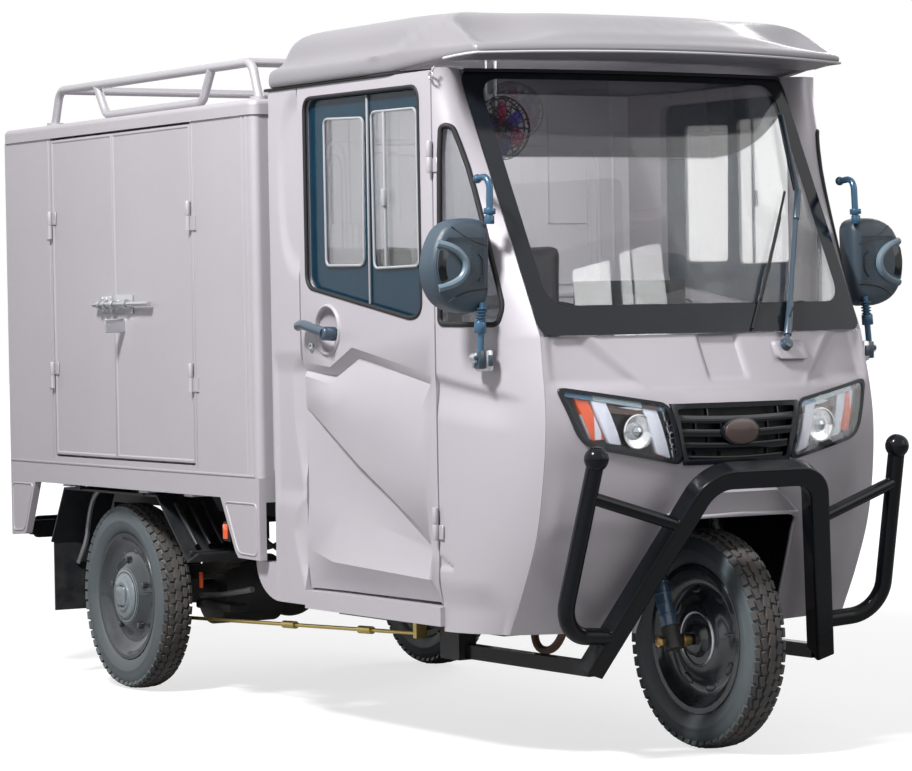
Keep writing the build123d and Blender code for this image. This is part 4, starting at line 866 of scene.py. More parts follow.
lamps = {
    "bezel": 8,
    "amber": [(404, 846), (374, 841), (340, 742), (368, 740)],
    "outerBar": [(368, 838), (334, 831), (301, 728), (330, 733)],
    "innerBar": [(250, 818), (216, 812), (180, 694), (214, 706)],
    "bowl": (262, 758, 34),
    "topEdge": [(432, 856), (194, 816), (196, 802), (424, 842)],
    "endEdge": [(436, 852), (424, 848), (388, 748), (394, 745)],
    "upper": [(330, 826), (212, 804), (208, 786), (322, 802)],
    "ledge": [(370, 726), (168, 690), (164, 680), (380, 720)],
    "flash": [(312, 815), (262, 818), (228, 806), (258, 806)],
    "rings": [(184, 776), (178, 748), (172, 722)],
    "sliver": [(198, 806), (186, 804), (158, 692), (172, 694)],
}


def makeLamp(name, side):
    def placed(points):
        return [(side * y, z) for y, z in points]

    bm = bmesh.new()
    outer = flatOutline(placed(nose["lamp"]), 22, 5)
    inner = flatOutline(placed(insetOutline(nose["lamp"], lamps["bezel"])), 18, 5)
    addPatch(bm, outer, 6, 26)
    cutter = bmesh.new()
    addPatch(cutter, inner, 60, 74)
    carve(bm, cutter)
    # dark tray behind the reflectors
    with painted(bm, 1):
        addPatch(bm, inner, -21, 3)
    for index, points, proud, thick in (
        (2, lamps["amber"], -8, 10), (3, lamps["outerBar"], -5, 14), (3, lamps["innerBar"], -5, 14),
        (4, lamps["sliver"], -9, 8),
    ):
        with painted(bm, index):
            addPatch(bm, flatOutline(placed(points), 4, 3), proud, thick, 1.5)
    with painted(bm, 1):
        for row in range(4):
            z = 768 + row * 19
            addPatch(
                bm,
                placed([(384 + row * 7, z), (392 + row * 7, z + 2), (394 + row * 7, z + 13), (388 + row * 7, z + 11)]),
                -12, 5,
            )
    y, z, radius = lamps["bowl"]
    face = noseX(y, z)
    with painted(bm, 4):
        addLathe(
            bm, [
                (-2, radius + 7), (-8, radius + 6), (-20, 10), (-21, 0.5), (-18, 0.5), (-16, 10), (-6, radius + 3),
                (0, radius + 4),
            ],
            (face - 2, side * y, z), "X", 40,
        )
    with painted(bm, 5):
        addLathe(bm, [(-16, 0.5), (-16, 17), (-8, 17), (-3, 14), (1, 8), (2.5, 0.5)], (face - 2, side * y, z), "X", 32)
    # lens edges, brown upper reflector, ledge under the bars and small rings near the grille
    for index, points, proud in (
        (6, lamps["topEdge"], -3), (7, lamps["endEdge"], -3), (8, lamps["upper"], -9), (8, lamps["ledge"], -5),
        (2, lamps["flash"], -7),
    ):
        with painted(bm, index):
            addPatch(bm, placed(points), proud, 10, 1)
    with painted(bm, 5):
        for ringY, ringZ in lamps["rings"]:
            addLathe(
                bm, [(-8, 5), (-2, 5.5), (0, 7.5), (-2, 9), (-8, 9)], (noseX(ringY, ringZ) - 4, side * ringY, ringZ),
                "X", 20,
            )
    finishes = [glossBlack, mouldedBlack, amberLens, lightBar, lampBowl, darkChrome, lensBlue, lensPale, reflectorBrown]
    finishPiece(name, bm, finishes, "vehicle", ["headlights"], 35)
    cover = bmesh.new()
    addPatch(cover, flatOutline(placed(insetOutline(nose["lamp"], lamps["bezel"] - 1)), 13, 5), 5, 2.5)
    finishPiece(name + "Cover", cover, lampCover, "vehicle", ["headlights"], 35)


makeLamp("headlampLeft", 1)
makeLamp("headlampRight", -1)

grille = {"frame": 12, "bars": [691, 722, 753, 785], "barHalf": 9, "badge": (53, 33), "badgeHeight": 752}


def makeGrille():
    bm = bmesh.new()
    outer = flatOutline(nose["grille"], 8, 4)
    addPatch(bm, outer, 7, 24)
    cutter = bmesh.new()
    addPatch(cutter, flatOutline(insetOutline(nose["grille"], grille["frame"]), 8, 4), 60, 100)
    carve(bm, cutter)
    with painted(bm, 1):
        addPatch(bm, insetOutline(nose["grille"], 9), -24, 3)
    with painted(bm, 0):
        for index, z in enumerate(grille["bars"]):
            half = 145 + (z - 677) * 0.24
            reach = grille["barHalf"]
            # each bar dips towards the middle
            spread = range(-int(half), int(half) + 1, 20)
            top = [(y, z + reach - 5 * math.cos(y / half * math.pi / 2)) for y in spread]
            low = [(y, b - 2 * reach) for y, b in top]
            addPatch(bm, top + low[::-1], 1, 16, 1.5, 20)
            for y in range(-120 + (index % 2) * 34, 150, 68):
                if abs(y) > 50:
                    addPatch(bm, [(y - 1.5, z + 6), (y + 1.5, z + 6), (y + 1.5, z + 22), (y - 1.5, z + 22)], -1, 12)
    # plain oval disc
    wide, high = grille["badge"]
    for share, proud, index in ((1.0, 8, 0), (0.88, 11, 2)):
        with painted(bm, index):
            ring = [
                (
                    math.cos(math.tau * i / 40) * wide * share,
                    grille["badgeHeight"] + math.sin(math.tau * i / 40) * high * share,
                )
                for i in range(40)
            ]
            addPatch(bm, ring, proud, 20, 2.5, 30)
    return finishPiece(
        "grilleSlats", bm, [glossBlack, mouldedBlack, brownDisc], "vehicle", ["grille"], 35,
    )


makeGrille()
print("nose made")

# Side panels with their pressed bands
sidePanel = {
    "rows": 190, "columns": 60, "low": 290, "tall": 1321.7,
    # press lines, each from the door's edge forwards: (x, z)
    "stepTop": ((919, 896), (1190, 846)), "stepLow": ((919, 870), (1180, 827)), "ledge": ((919, 783), (1214, 749)),
    "bulge": [(290, 18), (660, 21), (979, 22), (1168, 25), (1500, 27), (1611, 24)],
    "window": [(934, 1012), (940, 1474), (962, 1474), (1124, 1050), (1116, 1008)],
}


def sidePoint(share, z, inward=0.0):
    rows = noseRows if z < 979 else glassRows
    seam, half, middle = rowAt(rows, z)
    start = Vector((trike["panelStart"], -trike["cabHalf"]))
    end = Vector((trike["frontAxle"] + seam - 1.2, -half - 1))
    chord = end - start
    normal = Vector((chord.y, -chord.x)).normalized()
    bulge = lineAt(z, *sidePanel["bulge"])
    point = start + chord * share + normal * (4 * bulge * share * (1 - share) - inward)
    return Vector((point.x, point.y, z))


def sideRelief(x, z):
    depth = 0.0
    fade = ease((1215 - x) / 130)
    stepTop, stepLow, ledge = (lineAt(x, *sidePanel[name]) for name in ("stepTop", "stepLow", "ledge"))
    if z < stepTop:
        depth += 11 * ease((stepTop - z) / max(stepTop - stepLow, 8))
    if z < stepLow:
        depth -= 9 * ease((stepLow - z) / (stepLow - ledge))
    depth *= fade
    if z < 420:
        depth += 12 * ease((420 - z) / 80) * ease((1130 - x) / 80)
    notch = ease((z - 440) / 4) * ease((lineAt(x, (925, 468), (980, 442)) - z) / 3)
    return depth + 4 * notch * ease((985 - x) / 20)


def makeSidePanel(name, left):
    bm = bmesh.new()
    bmesh.ops.create_grid(bm, x_segments=sidePanel["columns"], y_segments=sidePanel["rows"], size=0.5)
    for vert in bm.verts:
        share, z = vert.co.x + 0.5, sidePanel["low"] + (vert.co.y + 0.5) * sidePanel["tall"]
        flat = sidePoint(share, z)
        vert.co = sidePoint(share, z, sideRelief(flat.x, z) * ease((1 - share) * 8))
    for face in bm.faces:
        face.normal_update()
    for vert in pushOut(bm, bm.faces[:]):
        vert.co += Vector((-6, 14, 0)) if vert.co.z < 1000 else Vector((-12, 12, 0))
    bmesh.ops.recalc_face_normals(bm, faces=bm.faces)
    carvePlate(bm, flatOutline(insetOutline(sidePanel["window"], 3), 12, 5), -600, 200)
    if left:
        turnLeft(bm)
    return finishPiece(name, bm, bodyPaint, "vehicle", ["side_panels"], 28)


makeSidePanel("sidePanelRight", False)
makeSidePanel("sidePanelLeft", True)


def makeQuarterGlass(name, left):
    bm = bmesh.new()
    ring = flatOutline(sidePanel["window"], 14, 5)
    face = bm.faces.new([bm.verts.new((x, 0, z)) for x, z in ring])
    geom = bm.verts[:] + bm.edges[:] + bm.faces[:]
    for step in range(1, 12):
        geom = bmesh.ops.bisect_plane(
            bm, geom=geom, dist=0.001, plane_co=(trike["panelStart"] + step * 20, 0, 0), plane_no=(1, 0, 0),
        )["geom"]
    for vert in bm.verts:
        # slides each point onto the panel's curved face, a little behind it
        low, high = 0.0, 1.0
        for _ in range(24):
            middle = (low + high) / 2
            if sidePoint(middle, vert.co.z).x < vert.co.x:
                low = middle
            else:
                high = middle
        vert.co.y = sidePoint(low, vert.co.z).y + 7
    glass = bm.copy()
    solidBack(glass, (-2, 4, 0))
    if left:
        turnLeft(glass)
    finishPiece(name, glass, tintAndShadeGlass, "vehicle", ["quarter_glass"], 35)
    # rubber round the pane
    rim = [v.co + Vector((0.5, -5, 0)) for v in bm.verts if any(len(e.link_faces) == 1 for e in v.link_edges)]
    bm.free()
    centre = Vector((1000, 0, 1200))
    rim.sort(key=lambda p: math.atan2(p.z - centre.z, p.x - centre.x))
    seal = bmesh.new()
    addRing(seal, rim, 7, 3, 10)
    if left:
        turnLeft(seal)
    finishPiece(name + "Seal", seal, rubberSeal, "vehicle", [], 60)


makeQuarterGlass("quarterPaneRight", False)
makeQuarterGlass("quarterPaneLeft", True)

# Quarter panels with the pressed loop round the door's rear edge, a step and a raised fold
quarter = {
    "rear": 8, "wall": 116, "front": 262, "low": 310, "high": 1611.5, "face": -560, "inside": -532,
    # columns: height, place of the fold
    "fold": ((355, 262), (500, 204), (573, 252), (622, 254), (768, 214), (894, 207), (924, 231)),
    "loop": (262, 1366, 106, 238),
}


def quarterRelief(x, z):
    middleX, middleZ, reach, tall = quarter["loop"]
    loop = (abs(middleX - x) / reach) ** 2.4 + (abs(z - middleZ) / tall) ** 2.4
    depth = 8 * ease((1 - loop) * 1.9)
    body = ease((x - 112) / 26)
    if z < 943:
        step = 7 * min((943 - z) / 47, 1)
        band = ease((z - 548) / 54)
        depth += body * (step * band + 2 * (1 - band))
        fold = lineAt(z, *quarter["fold"])
        depth += body * 11 * min(max((x - fold) / max(quarter["front"] - fold, 20), 0), 1) * ease((930 - z) / 30)
    return min(depth, 20)


def makeQuarterSkin(name, left):
    bm = bmesh.new()
    bmesh.ops.create_grid(bm, x_segments=50, y_segments=150, size=0.5)
    wide, tall = quarter["front"] - quarter["rear"] + 20, quarter["high"] - quarter["low"] + 20
    for vert in bm.verts:
        x = quarter["rear"] - 10 + (vert.co.x + 0.5) * wide
        z = quarter["low"] - 10 + (vert.co.y + 0.5) * tall
        vert.co = (x, quarter["face"] + quarterRelief(x, z), z)
    for vert in pushOut(bm, bm.faces[:]):
        vert.co.y = quarter["inside"]
    bmesh.ops.recalc_face_normals(bm, faces=bm.faces)
    wall = quarter["wall"]
    angles = [turn * math.pi / 20 for turn in range(11)]
    tail = [(wall + 20 - 128 * math.sin(angle), 310 + 98 * (1 - math.cos(angle))) for angle in angles]
    outline = [
        (wall, quarter["high"]), (quarter["front"], quarter["high"]), (quarter["front"], quarter["low"]),
        *tail, (wall, 408),
    ]
    carvePlate(bm, outline, -620, 140, "XZ", "INTERSECT")
    if left:
        turnLeft(bm)
    return finishPiece(name, bm, bodyPaint, "vehicle", ["quarter_panels"], 26)


makeQuarterSkin("quarterSkinRight", False)
makeQuarterSkin("quarterSkinLeft", True)

# Windshield with its printed border
screen = {
    "outer": [(-461, 981), (461, 981), (472, 1610), (-472, 1610)],
    "inner": [(-421, 1050), (421, 1050), (430, 1588), (-430, 1588)],
    "thick": 5,
}


def glassX(y, z):
    return noseX(y, z, glassRows)


def makeWindshield():
    bm = bmesh.new()
    bmesh.ops.create_grid(bm, x_segments=40, y_segments=8, size=0.5)
    for vert in bm.verts:
        z = 980 + (vert.co.y + 0.5) * 631
        y = vert.co.x * 2 * (rowAt(glassRows, z)[1] - 1)
        vert.co = (glassX(y, z) - 1, y, z)
    solidBack(bm, (-screen["thick"] * 0.9, 0, -screen["thick"] * 0.4))
    finishPiece("windshieldPane", bm, clearGlass, "vehicle", ["windshield"], 35)
    band = bmesh.new()
    loops = []
    for points, corner in ((screen["outer"], 30), (screen["inner"], 46)):
        ring = []
        path = [Vector((y, z)) for y, z in flatOutline(points, corner, 7)]
        total = len(path)
        for index, point in enumerate(path):
            after = path[(index + 1) % total]
            parts = max(int((after - point).length // 40), 1) if (after - point).length > 60 else 1
            parts = 14 if (after - point).length > 400 else parts
            ring += [point.lerp(after, part / parts) for part in range(parts)]
        verts = [band.verts.new((glassX(p.x, p.y) + 0.6, p.x, p.y)) for p in ring]
        loops += [band.edges.new(pair) for pair in zip(verts, verts[1:] + verts[:1])]
    bmesh.ops.bridge_loops(band, edges=loops)
    inner = [e for e in band.edges if len(e.link_faces) == 2]
    bmesh.ops.subdivide_edges(band, edges=inner, cuts=2, use_grid_fill=True)
    for vert in band.verts:
        vert.co.x = glassX(vert.co.y, vert.co.z) + 0.6
    solidBack(band, (-1.4, 0, 0))
    finishPiece("windshieldBorder", band, glossBlack, "vehicle", [], 40)


makeWindshield()
print("glass made")

# Cab roof. Columns: half width behind the crest, half width of the visor's cheek, rear, front corner, front middle,
# height at the sides, height at the front
roofRows = [
    (524, 524, 140, 880, 925, 1690, 1690),
    (530, 530, 130, 893, 938, 1613, 1613),
    (556, 552, 112, 1052, 1132, 1613, 1634),
    (568, 562, 103, 1066, 1146, 1612, 1634),
    (574, 567, 98, 1070, 1150, 1617, 1638),
    (575, 568, 97, 1070, 1150, 1632, 1645),
    (574, 567, 99, 1068, 1148, 1647, 1651),
    (570, 566, 104, 1062, 1141, 1656, 1656),
    (560, 564, 112, 1052, 1130, 1661, 1661),
    (547, 560, 118, 1040, 1116, 1668, 1668),
    (538, 553, 124, 1018, 1092, 1686, 1683),
    (532, 545, 131, 990, 1060, 1706, 1701),
    (524, 536, 141, 956, 1022, 1724, 1718),
    (508, 526, 160, 928, 984, 1740, 1734),
    (478, 500, 196, 902, 950, 1750, 1746),
    (420, 440, 250, 850, 900, 1755, 1753),
    (300, 300, 360, 760, 800, 1757.5, 1756.5),
    (120, 120, 480, 640, 650, 1758, 1757.5),
]
roof = {
    # the crest that sweeps up to the visor's peak: height, distance from the frame's middle
    "crest": ((1650, 640), (1656, 690), (1668, 752), (1688, 790), (1706, 822), (1735, 862), (1752, 905)),
    "crestWidth": 26, "taper": 37, "taperStart": 760, "sidePoints": 60, "frontPoints": 18, "corner": 60,
    "hollow": 30, "panelHalf": 252, "panelStep": 5,
}


def roofHollow(x, y, z):
    # the visor is sunk between its middle panel and its cheeks
    across = abs(y)
    along = ease((x - 885) / 70) * ease((1078 - x) / 60) * ease((z - 1656) / 16)
    sunk = roof["hollow"] * ease((across - roof["panelHalf"] - 10) / 150) * ease((514 - across) / 40)
    return along * (sunk + roof["panelStep"] * ease((across - roof["panelHalf"]) / 12))


def roofRing(bm, row):
    half, cheek, rear, corner, middle, sideZ, frontZ = row
    soft = min(roof["corner"], half * 0.4)
    crestX = lineAt(sideZ, *roof["crest"])

    def sideY(x):
        width = half + (cheek - half) * ease((x - crestX) / roof["crestWidth"] + 0.5)
        return -width + roof["taper"] * ease((x - roof["taperStart"]) / (1070 - roof["taperStart"]))

    outline = [(rear, 0), (rear, -half * 0.5), (rear, -half + soft)]
    outline += [(rear + soft * (1 - math.cos(turn)), -half + soft * (1 - math.sin(turn))) for turn in (0.52, 1.05)]
    start = rear + soft
    count = roof["sidePoints"]
    outline += [
        (start + (corner - start) * step / count, sideY(start + (corner - start) * step / count))
        for step in range(count)
    ]
    front = -sideY(corner)
    sag = max(middle - corner, 2)
    radius = (front**2 + sag**2) / (2 * sag)
    for step in range(roof["frontPoints"] + 1):
        y = -front + front * step / roof["frontPoints"]
        outline.append((middle - radius + math.sqrt(max(radius**2 - y * y, 0)), y))
    ring = outline + [(x, -y) for x, y in reversed(outline[1:-1])]
    verts = []
    for x, y in ring:
        share = ease((x - 700) / (corner - 720)) if corner > 760 else 0
        crown = 8 * (1 - (y / half) ** 2) * ease((x - 850) / 200) if corner > 1000 else 0
        z = sideZ + (frontZ - sideZ) * share + crown
        verts.append(bm.verts.new((x, y, z - roofHollow(x, y, z))))
    return verts


def makeRoof():
    bm = bmesh.new()
    rings = [roofRing(bm, row) for row in roofRows]
    for low, high in zip(rings, rings[1:]):
        for index in range(len(low)):
            after = (index + 1) % len(low)
            bm.faces.new((low[index], low[after], high[after], high[index]))
    bm.faces.new(rings[-1])
    bm.faces.new(rings[0][::-1])
    bmesh.ops.recalc_face_normals(bm, faces=bm.faces)
    lip = [tuple(vert.co + Vector((0, 0, -1))) for vert in rings[4] if vert.co.x > 940]
    # the roof shell takes the darkened roof paint, painted shade on its lit top
    piece = finishPiece("roofShell", bm, roofShadedPaint, "vehicle", ["cab_roof"], 60)
    smooth = piece.modifiers.new("smooth", "SUBSURF")
    smooth.levels = smooth.render_levels = 1
    # pale tube along the visor's front edge, its light colour a painted highlight where the rolled edge catches the
    # light
    rim = bmesh.new()
    lip.sort(key=lambda point: point[1])
    addTube(rim, lip, 3.2, 2, 8)
    bmesh.ops.translate(rim, verts=rim.verts, vec=(-2.5, 0, -1.5))
    finishPiece("visorRim", rim, lipHighlightPaint, "vehicle", [], 60)
    # clip ring at the door's top front corner with a short stem up to the roof
    clip = bmesh.new()
    ring = [(930 + 9 * math.cos(turn * 0.7), -568, 1592 + 9 * math.sin(turn * 0.7)) for turn in range(9)]
    addTube(clip, ring, 2.2, 1, 8)
    addTube(clip, [(934, -568, 1599), (937, -566, 1606), (939, -563, 1613)], 2.2, 2, 8)
    finishPiece("roofClip", clip, zincPlate, "vehicle", [], 60)
    return piece


makeRoof()
print("roof made")

# Cab doors. Rows from the top down; columns: distance from the rear edge, height, depth of the press
doorRows = [
    [(0, 1000, 0), (16, 1000, 0), (143, 1000, 0), (254, 1000, 0), (615, 1000, 0), (630, 1000, 0), (645, 1000, 0)],
    [(0, 921, 3), (16, 919, 3), (143, 908, 0), (254, 957, 0), (590, 899, 1), (630, 893, 0), (645, 891, 0)],
    [(0, 897, 10), (16, 896, 12), (143, 885, 16), (254, 930, 16), (588, 870, 14), (618, 866, 2), (645, 864, 1)],
    [(0, 884, 6), (16, 883, 6), (143, 865, 2), (254, 850, 1), (556, 809, 8), (596, 800, 1), (645, 798, 1)],
    [(0, 848, 7), (16, 845, 7), (143, 800, 3), (254, 762, 2), (556, 643, 8), (590, 650, 1), (645, 648, 1)],
    [(0, 812, 8), (16, 803, 8), (143, 734, 6), (254, 673, 6), (580, 510, 10), (602, 520, 3), (645, 520, 2)],
    [(0, 800, 10), (16, 790, 12), (143, 720, 16), (254, 659, 17), (586, 486, 14), (606, 492, 3), (645, 492, 2)],
    [(0, 580, 10), (16, 577, 12), (143, 555, 18), (254, 536, 18), (592, 470, 15), (612, 472, 3), (645, 471, 2)],
    [(0, 453, 4), (16, 452, 3), (143, 426, 0), (254, 422, 0), (588, 408, 6), (612, 410, 1), (645, 408, 0)],
    [(0, 353, 12), (16, 353, 18), (143, 353, 24), (254, 353, 24), (616, 355, 22), (634, 353, 11), (645, 353, 8)],
]
door = {
    "rear": 268, "front": 913, "low": 353, "high": 1606, "thick": 38, "soften": 3, "press": 1.45,
    "window": [(300, 1576), (856, 1573), (856, 1040), (814, 1024), (300, 1107)],
    "gasket": [(334, 1573), (886, 1576), (905, 1546), (889, 1049), (851, 1024), (335, 1111), (309, 1147), (334, 1560)],
}


def makeDoorSkin(name, left):
    bm = bmesh.new()
    columns, rows = len(doorRows[0]), len(doorRows) + 1
    bmesh.ops.create_grid(bm, x_segments=columns - 1, y_segments=rows - 1, size=0.5)
    outer = -trike["cabHalf"]
    top = [(u, door["high"], 0) for u, z, depth in doorRows[0]]
    table = [top] + doorRows
    for vert in bm.verts:
        column = round((vert.co.x + 0.5) * (columns - 1))
        row = rows - 1 - round((vert.co.y + 0.5) * (rows - 1))
        u, z, depth = table[row][column]
        vert.co = (door["rear"] + u, outer + depth * door["press"], z)
    creases = [edge for edge in bm.edges if len(edge.link_faces) == 2 and edge.calc_face_angle(0) > math.radians(4)]
    bevelEdges(bm, creases, door["soften"], 3)
    for vert in pushOut(bm, bm.faces[:]):
        vert.co.y = outer + door["thick"]
    bmesh.ops.recalc_face_normals(bm, faces=bm.faces)
    carvePlate(bm, flatOutline(door["window"], 30, 6), -600, 120)
    # finger dish behind the handle
    cutter = bmesh.new()
    addBall(cutter, (404, outer, 1000), 58, (1, 0.3, 1), None, 40)
    carve(bm, cutter)
    if left:
        turnLeft(bm)
    side = "left" if left else "right"
    return finishPiece(name, bm, bodyPaint, f"cab_door_{side}", [f"cab_door_{side}"], 24)


makeDoorSkin("doorSkinRight", False)
makeDoorSkin("doorSkinLeft", True)
print("doors made")

# Door hardware, gaskets and the frames of the sliding panes
doorTrim = {
    "hinges": [(505, 543, 582), (1365, 1402, 1440)], "pin": (916, -568), "knuckle": 7.5,
    "rearPane": [(382, 1521), (577, 1514), (569, 1156), (383, 1159)],
    "slidePane": [(616, 1525), (827, 1523), (831, 1150), (620, 1148)],
}


def addFrameStrip(bm, outline, corner, radius, y):
    ring = [(x, y, z) for x, z in flatOutline(outline, corner, 5)]
    addRing(bm, ring, radius)


def makeDoorTrim(label, left):
    body = f"cab_door_{label}"
    outer = -trike["cabHalf"]
    gasket = bmesh.new()
    addFrameStrip(gasket, door["window"], 30, 5.5, outer + 1.5)
    frames = bmesh.new()
    for outline in (doorTrim["rearPane"], doorTrim["slidePane"]):
        addFrameStrip(frames, outline, 16, 3.2, outer + 11)
    addBox(frames, (672, outer + 8, 1150), (680, outer + 15, 1524), 2)
    addBox(frames, (594, outer + 8, 1062), (600, outer + 14, 1568), 2)
    addBox(frames, (670, outer + 2, 1296), (684, outer + 14, 1338), 2.5)
    # printed band round the two panes
    band = bmesh.new()
    addPlate(band, flatOutline(door["window"], 30, 6), outer + 17.2, -1.4, "XZ")
    for outline in (doorTrim["rearPane"], doorTrim["slidePane"]):
        carvePlate(band, flatOutline(outline, 16, 5), outer + 8, 16)
    shell = bmesh.new()
    addLathe(shell, [(-4, 54), (4, 56), (6, 59), (5, 62), (-1, 65), (-8, 66)], (404, outer, 1000), "Y", 56, -1)
    grip = bmesh.new()
    addTube(
        grip, [(300, outer - 26, 1010), (330, outer - 31, 1015), (392, outer - 33, 1003), (440, outer - 31, 994)],
        12.5, 18, 14,
    )
    addRod(grip, (440, outer - 38, 992), (440, outer - 0.5, 990), 17, 18, 28, 3)
    lock = bmesh.new()
    addLathe(lock, [(0, 0.5), (0, 11), (-4, 10), (-5, 4), (-3, 0.5)], (322, outer, 958), "Y", 32)
    hinge = bmesh.new()
    fixed = bmesh.new()
    pinX, pinY = doorTrim["pin"]
    for low, middle, high in doorTrim["hinges"]:
        addRod(hinge, (pinX, pinY, middle + 0.5), (pinX, pinY, high), 7.5, 7.5, 20, 1.2)
        addBox(hinge, (pinX - 26, outer - 2.5, middle + 2), (pinX, outer + 1, high - 2), 0.8, 1)
        addRod(fixed, (pinX, pinY, low), (pinX, pinY, middle), 7.5, 7.5, 20, 1.2)
        addBox(fixed, (pinX, outer - 2.5, low + 2), (pinX + 24, outer + 1, middle - 2), 0.8, 1)
        for z in ((middle + high) / 2 - 8, (middle + high) / 2 + 8):
            addBall(hinge, (pinX - 18, outer - 2.5, z), 3.5, (1, 0.5, 1), None, 12)
    for bm in (gasket, frames, band, shell, grip, hinge, fixed, lock):
        if left:
            turnLeft(bm)
    finishPiece(f"doorGasket.{label}", gasket, rubberSeal, body, [], 60)
    finishPiece(f"doorBand.{label}", band, bandTeal, body, [], 40)
    finishPiece(f"doorWindowFrames.{label}", frames, paneFrame, body, [], 40)
    finishPiece(f"doorHandleBase.{label}", shell, bodyPaint, body, [], 40)
    finishPiece(f"doorHandle.{label}", grip, wiperBlue, body, [], 50)
    finishPiece(f"doorLock.{label}", lock, darkChrome, body, [], 40)
    finishPiece(f"doorHinge.{label}", hinge, bodyPaint, body, [], 40)
    finishPiece(f"panelHinge.{label}", fixed, bodyPaint, "vehicle", [], 40)


makeDoorTrim("right", False)
makeDoorTrim("left", True)
print("door trim made")

# Side leaves of the box with pressed borders, hinges and the sliding bolt
leaves = {
    "side_leaf_rear": {"hinge": -1142, "low": -1139, "high": -745.5},
    "side_leaf_front": {"hinge": -271, "low": -742.5, "high": -274},
}
leafShape = {
    "bottom": 651, "top": 1545, "thick": 22, "border": 9, "press": 2.2,
    # columns: foot, middle and head of each hinge
    "hinges": [(840, 877, 915), (1265, 1304, 1343)],
    "pinY": -596, "boltZ": 1075, "boltY": -604,
}


def makeLeaf(name, leaf):
    face = -trike["boxHalf"]
    bm = bmesh.new()
    addBox(bm, (leaf["low"], face, leafShape["bottom"]), (leaf["high"], face + leafShape["thick"], leafShape["top"]))
    front = [f for f in bm.faces if f.normal.y < -0.9]
    bmesh.ops.inset_region(bm, faces=front, thickness=leafShape["border"], depth=0)
    bmesh.ops.inset_region(bm, faces=front, thickness=5, depth=-leafShape["press"])
    bevelEdges(bm, [e for e in bm.edges if e.calc_face_angle(0) > 1.2], 1.2, 2)
    finishPiece(name.replace("side_leaf_", "leafSkin."), bm, boxPaint, name, [name], 25)
    rear = name == "side_leaf_rear"
    toward = 1 if rear else -1
    pinX = leaf["low"] if rear else leaf["high"]
    metal = bmesh.new()
    for low, middle, high in leafShape["hinges"]:
        addRod(metal, (pinX, leafShape["pinY"], middle + 0.5), (pinX, leafShape["pinY"], high), 7, 7, 18, 1)
        addBox(metal, (pinX, face - 2.4, middle + 1), (pinX + toward * 26, face + 1, high - 1), 0.8, 1)
        for z in ((middle + high) / 2 - 11, (middle + high) / 2 + 11):
            addBall(metal, (pinX + toward * 17, face - 2, z), 3.2, (1, 0.6, 1), None, 12)
    finishPiece(name.replace("side_leaf_", "leafHinge."), metal, boxPaint, name, [], 40)
    z, y, seam = leafShape["boltZ"], leafShape["boltY"], trike["leafSeam"]
    latch = bmesh.new()
    if rear:
        addRod(latch, (seam - 96, y, z), (seam - 1.2, y, z), 7.5, 7.5, 20, 1.5)
        addBox(latch, (seam - 74, face - 3.5, z - 24), (seam - 8, face + 1, z + 24), 1.5)
        for x in (seam - 58, seam - 22):
            addLathe(latch, [(-7, 8.4), (7, 8.4), (7, 12), (5, 13), (-5, 13), (-7, 12)], (x, y, z), "X", 24)
            addBox(latch, (x - 6.5, y + 9, z - 12), (x + 6.5, face + 1, z + 12), 1)
        for x in (seam - 66, seam - 40, seam - 15):
            for dz in (17, -17):
                addBall(latch, (x, face - 3.5, z + dz), 3.4, (1, 0.6, 1), None, 12)
    else:
        plate = seam + 8
        addBox(latch, (plate, face - 3.5, z - 26), (plate + 110, face + 1, z + 26), 2)
        addRod(latch, (seam, y, z), (seam + 245, y, z), 7.5, 7.5, 20, 1.5)
        for x in (plate + 15, plate + 95):
            addLathe(latch, [(-8, 8.4), (8, 8.4), (8, 12.5), (6, 13.5), (-6, 13.5), (-8, 12.5)], (x, y, z), "X", 24)
            addBox(latch, (x - 7.5, y + 9, z - 12), (x + 7.5, face + 1, z + 12), 1)
        for x in (plate + 8, plate + 36, plate + 72, plate + 102):
            for dz in (-19, 19):
                addBall(latch, (x, face - 3.5, z + dz), 3.4, (1, 0.6, 1), None, 12)
        handle = plate + 50
        addTube(latch, [(handle, y, z), (handle, y - 3, z + 60), (handle, y, z + 94)], 6, 20)
        addBall(latch, (handle, y, z + 92), 7.5)
        addPlate(
            latch,
            flatOutline(
                [
                    (handle - 13, z + 6), (handle + 13, z + 6), (handle + 13, z - 88), (handle, z - 96),
                    (handle - 13, z - 88),
                ],
                6, 4,
            ),
            y - 4, 7, "XZ", 0,
        )
        carvePlate(
            latch,
            flatOutline(
                [(handle - 5, z - 40), (handle + 5, z - 40), (handle + 5, z - 78), (handle - 5, z - 78)], 4.5, 4,
            ),
            y - 40, 60,
        )
    finishPiece(name.replace("side_leaf_", "leafLatch."), latch, zincPlate, name, [], 40)


for name, leaf in leaves.items():
    makeLeaf(name, leaf)


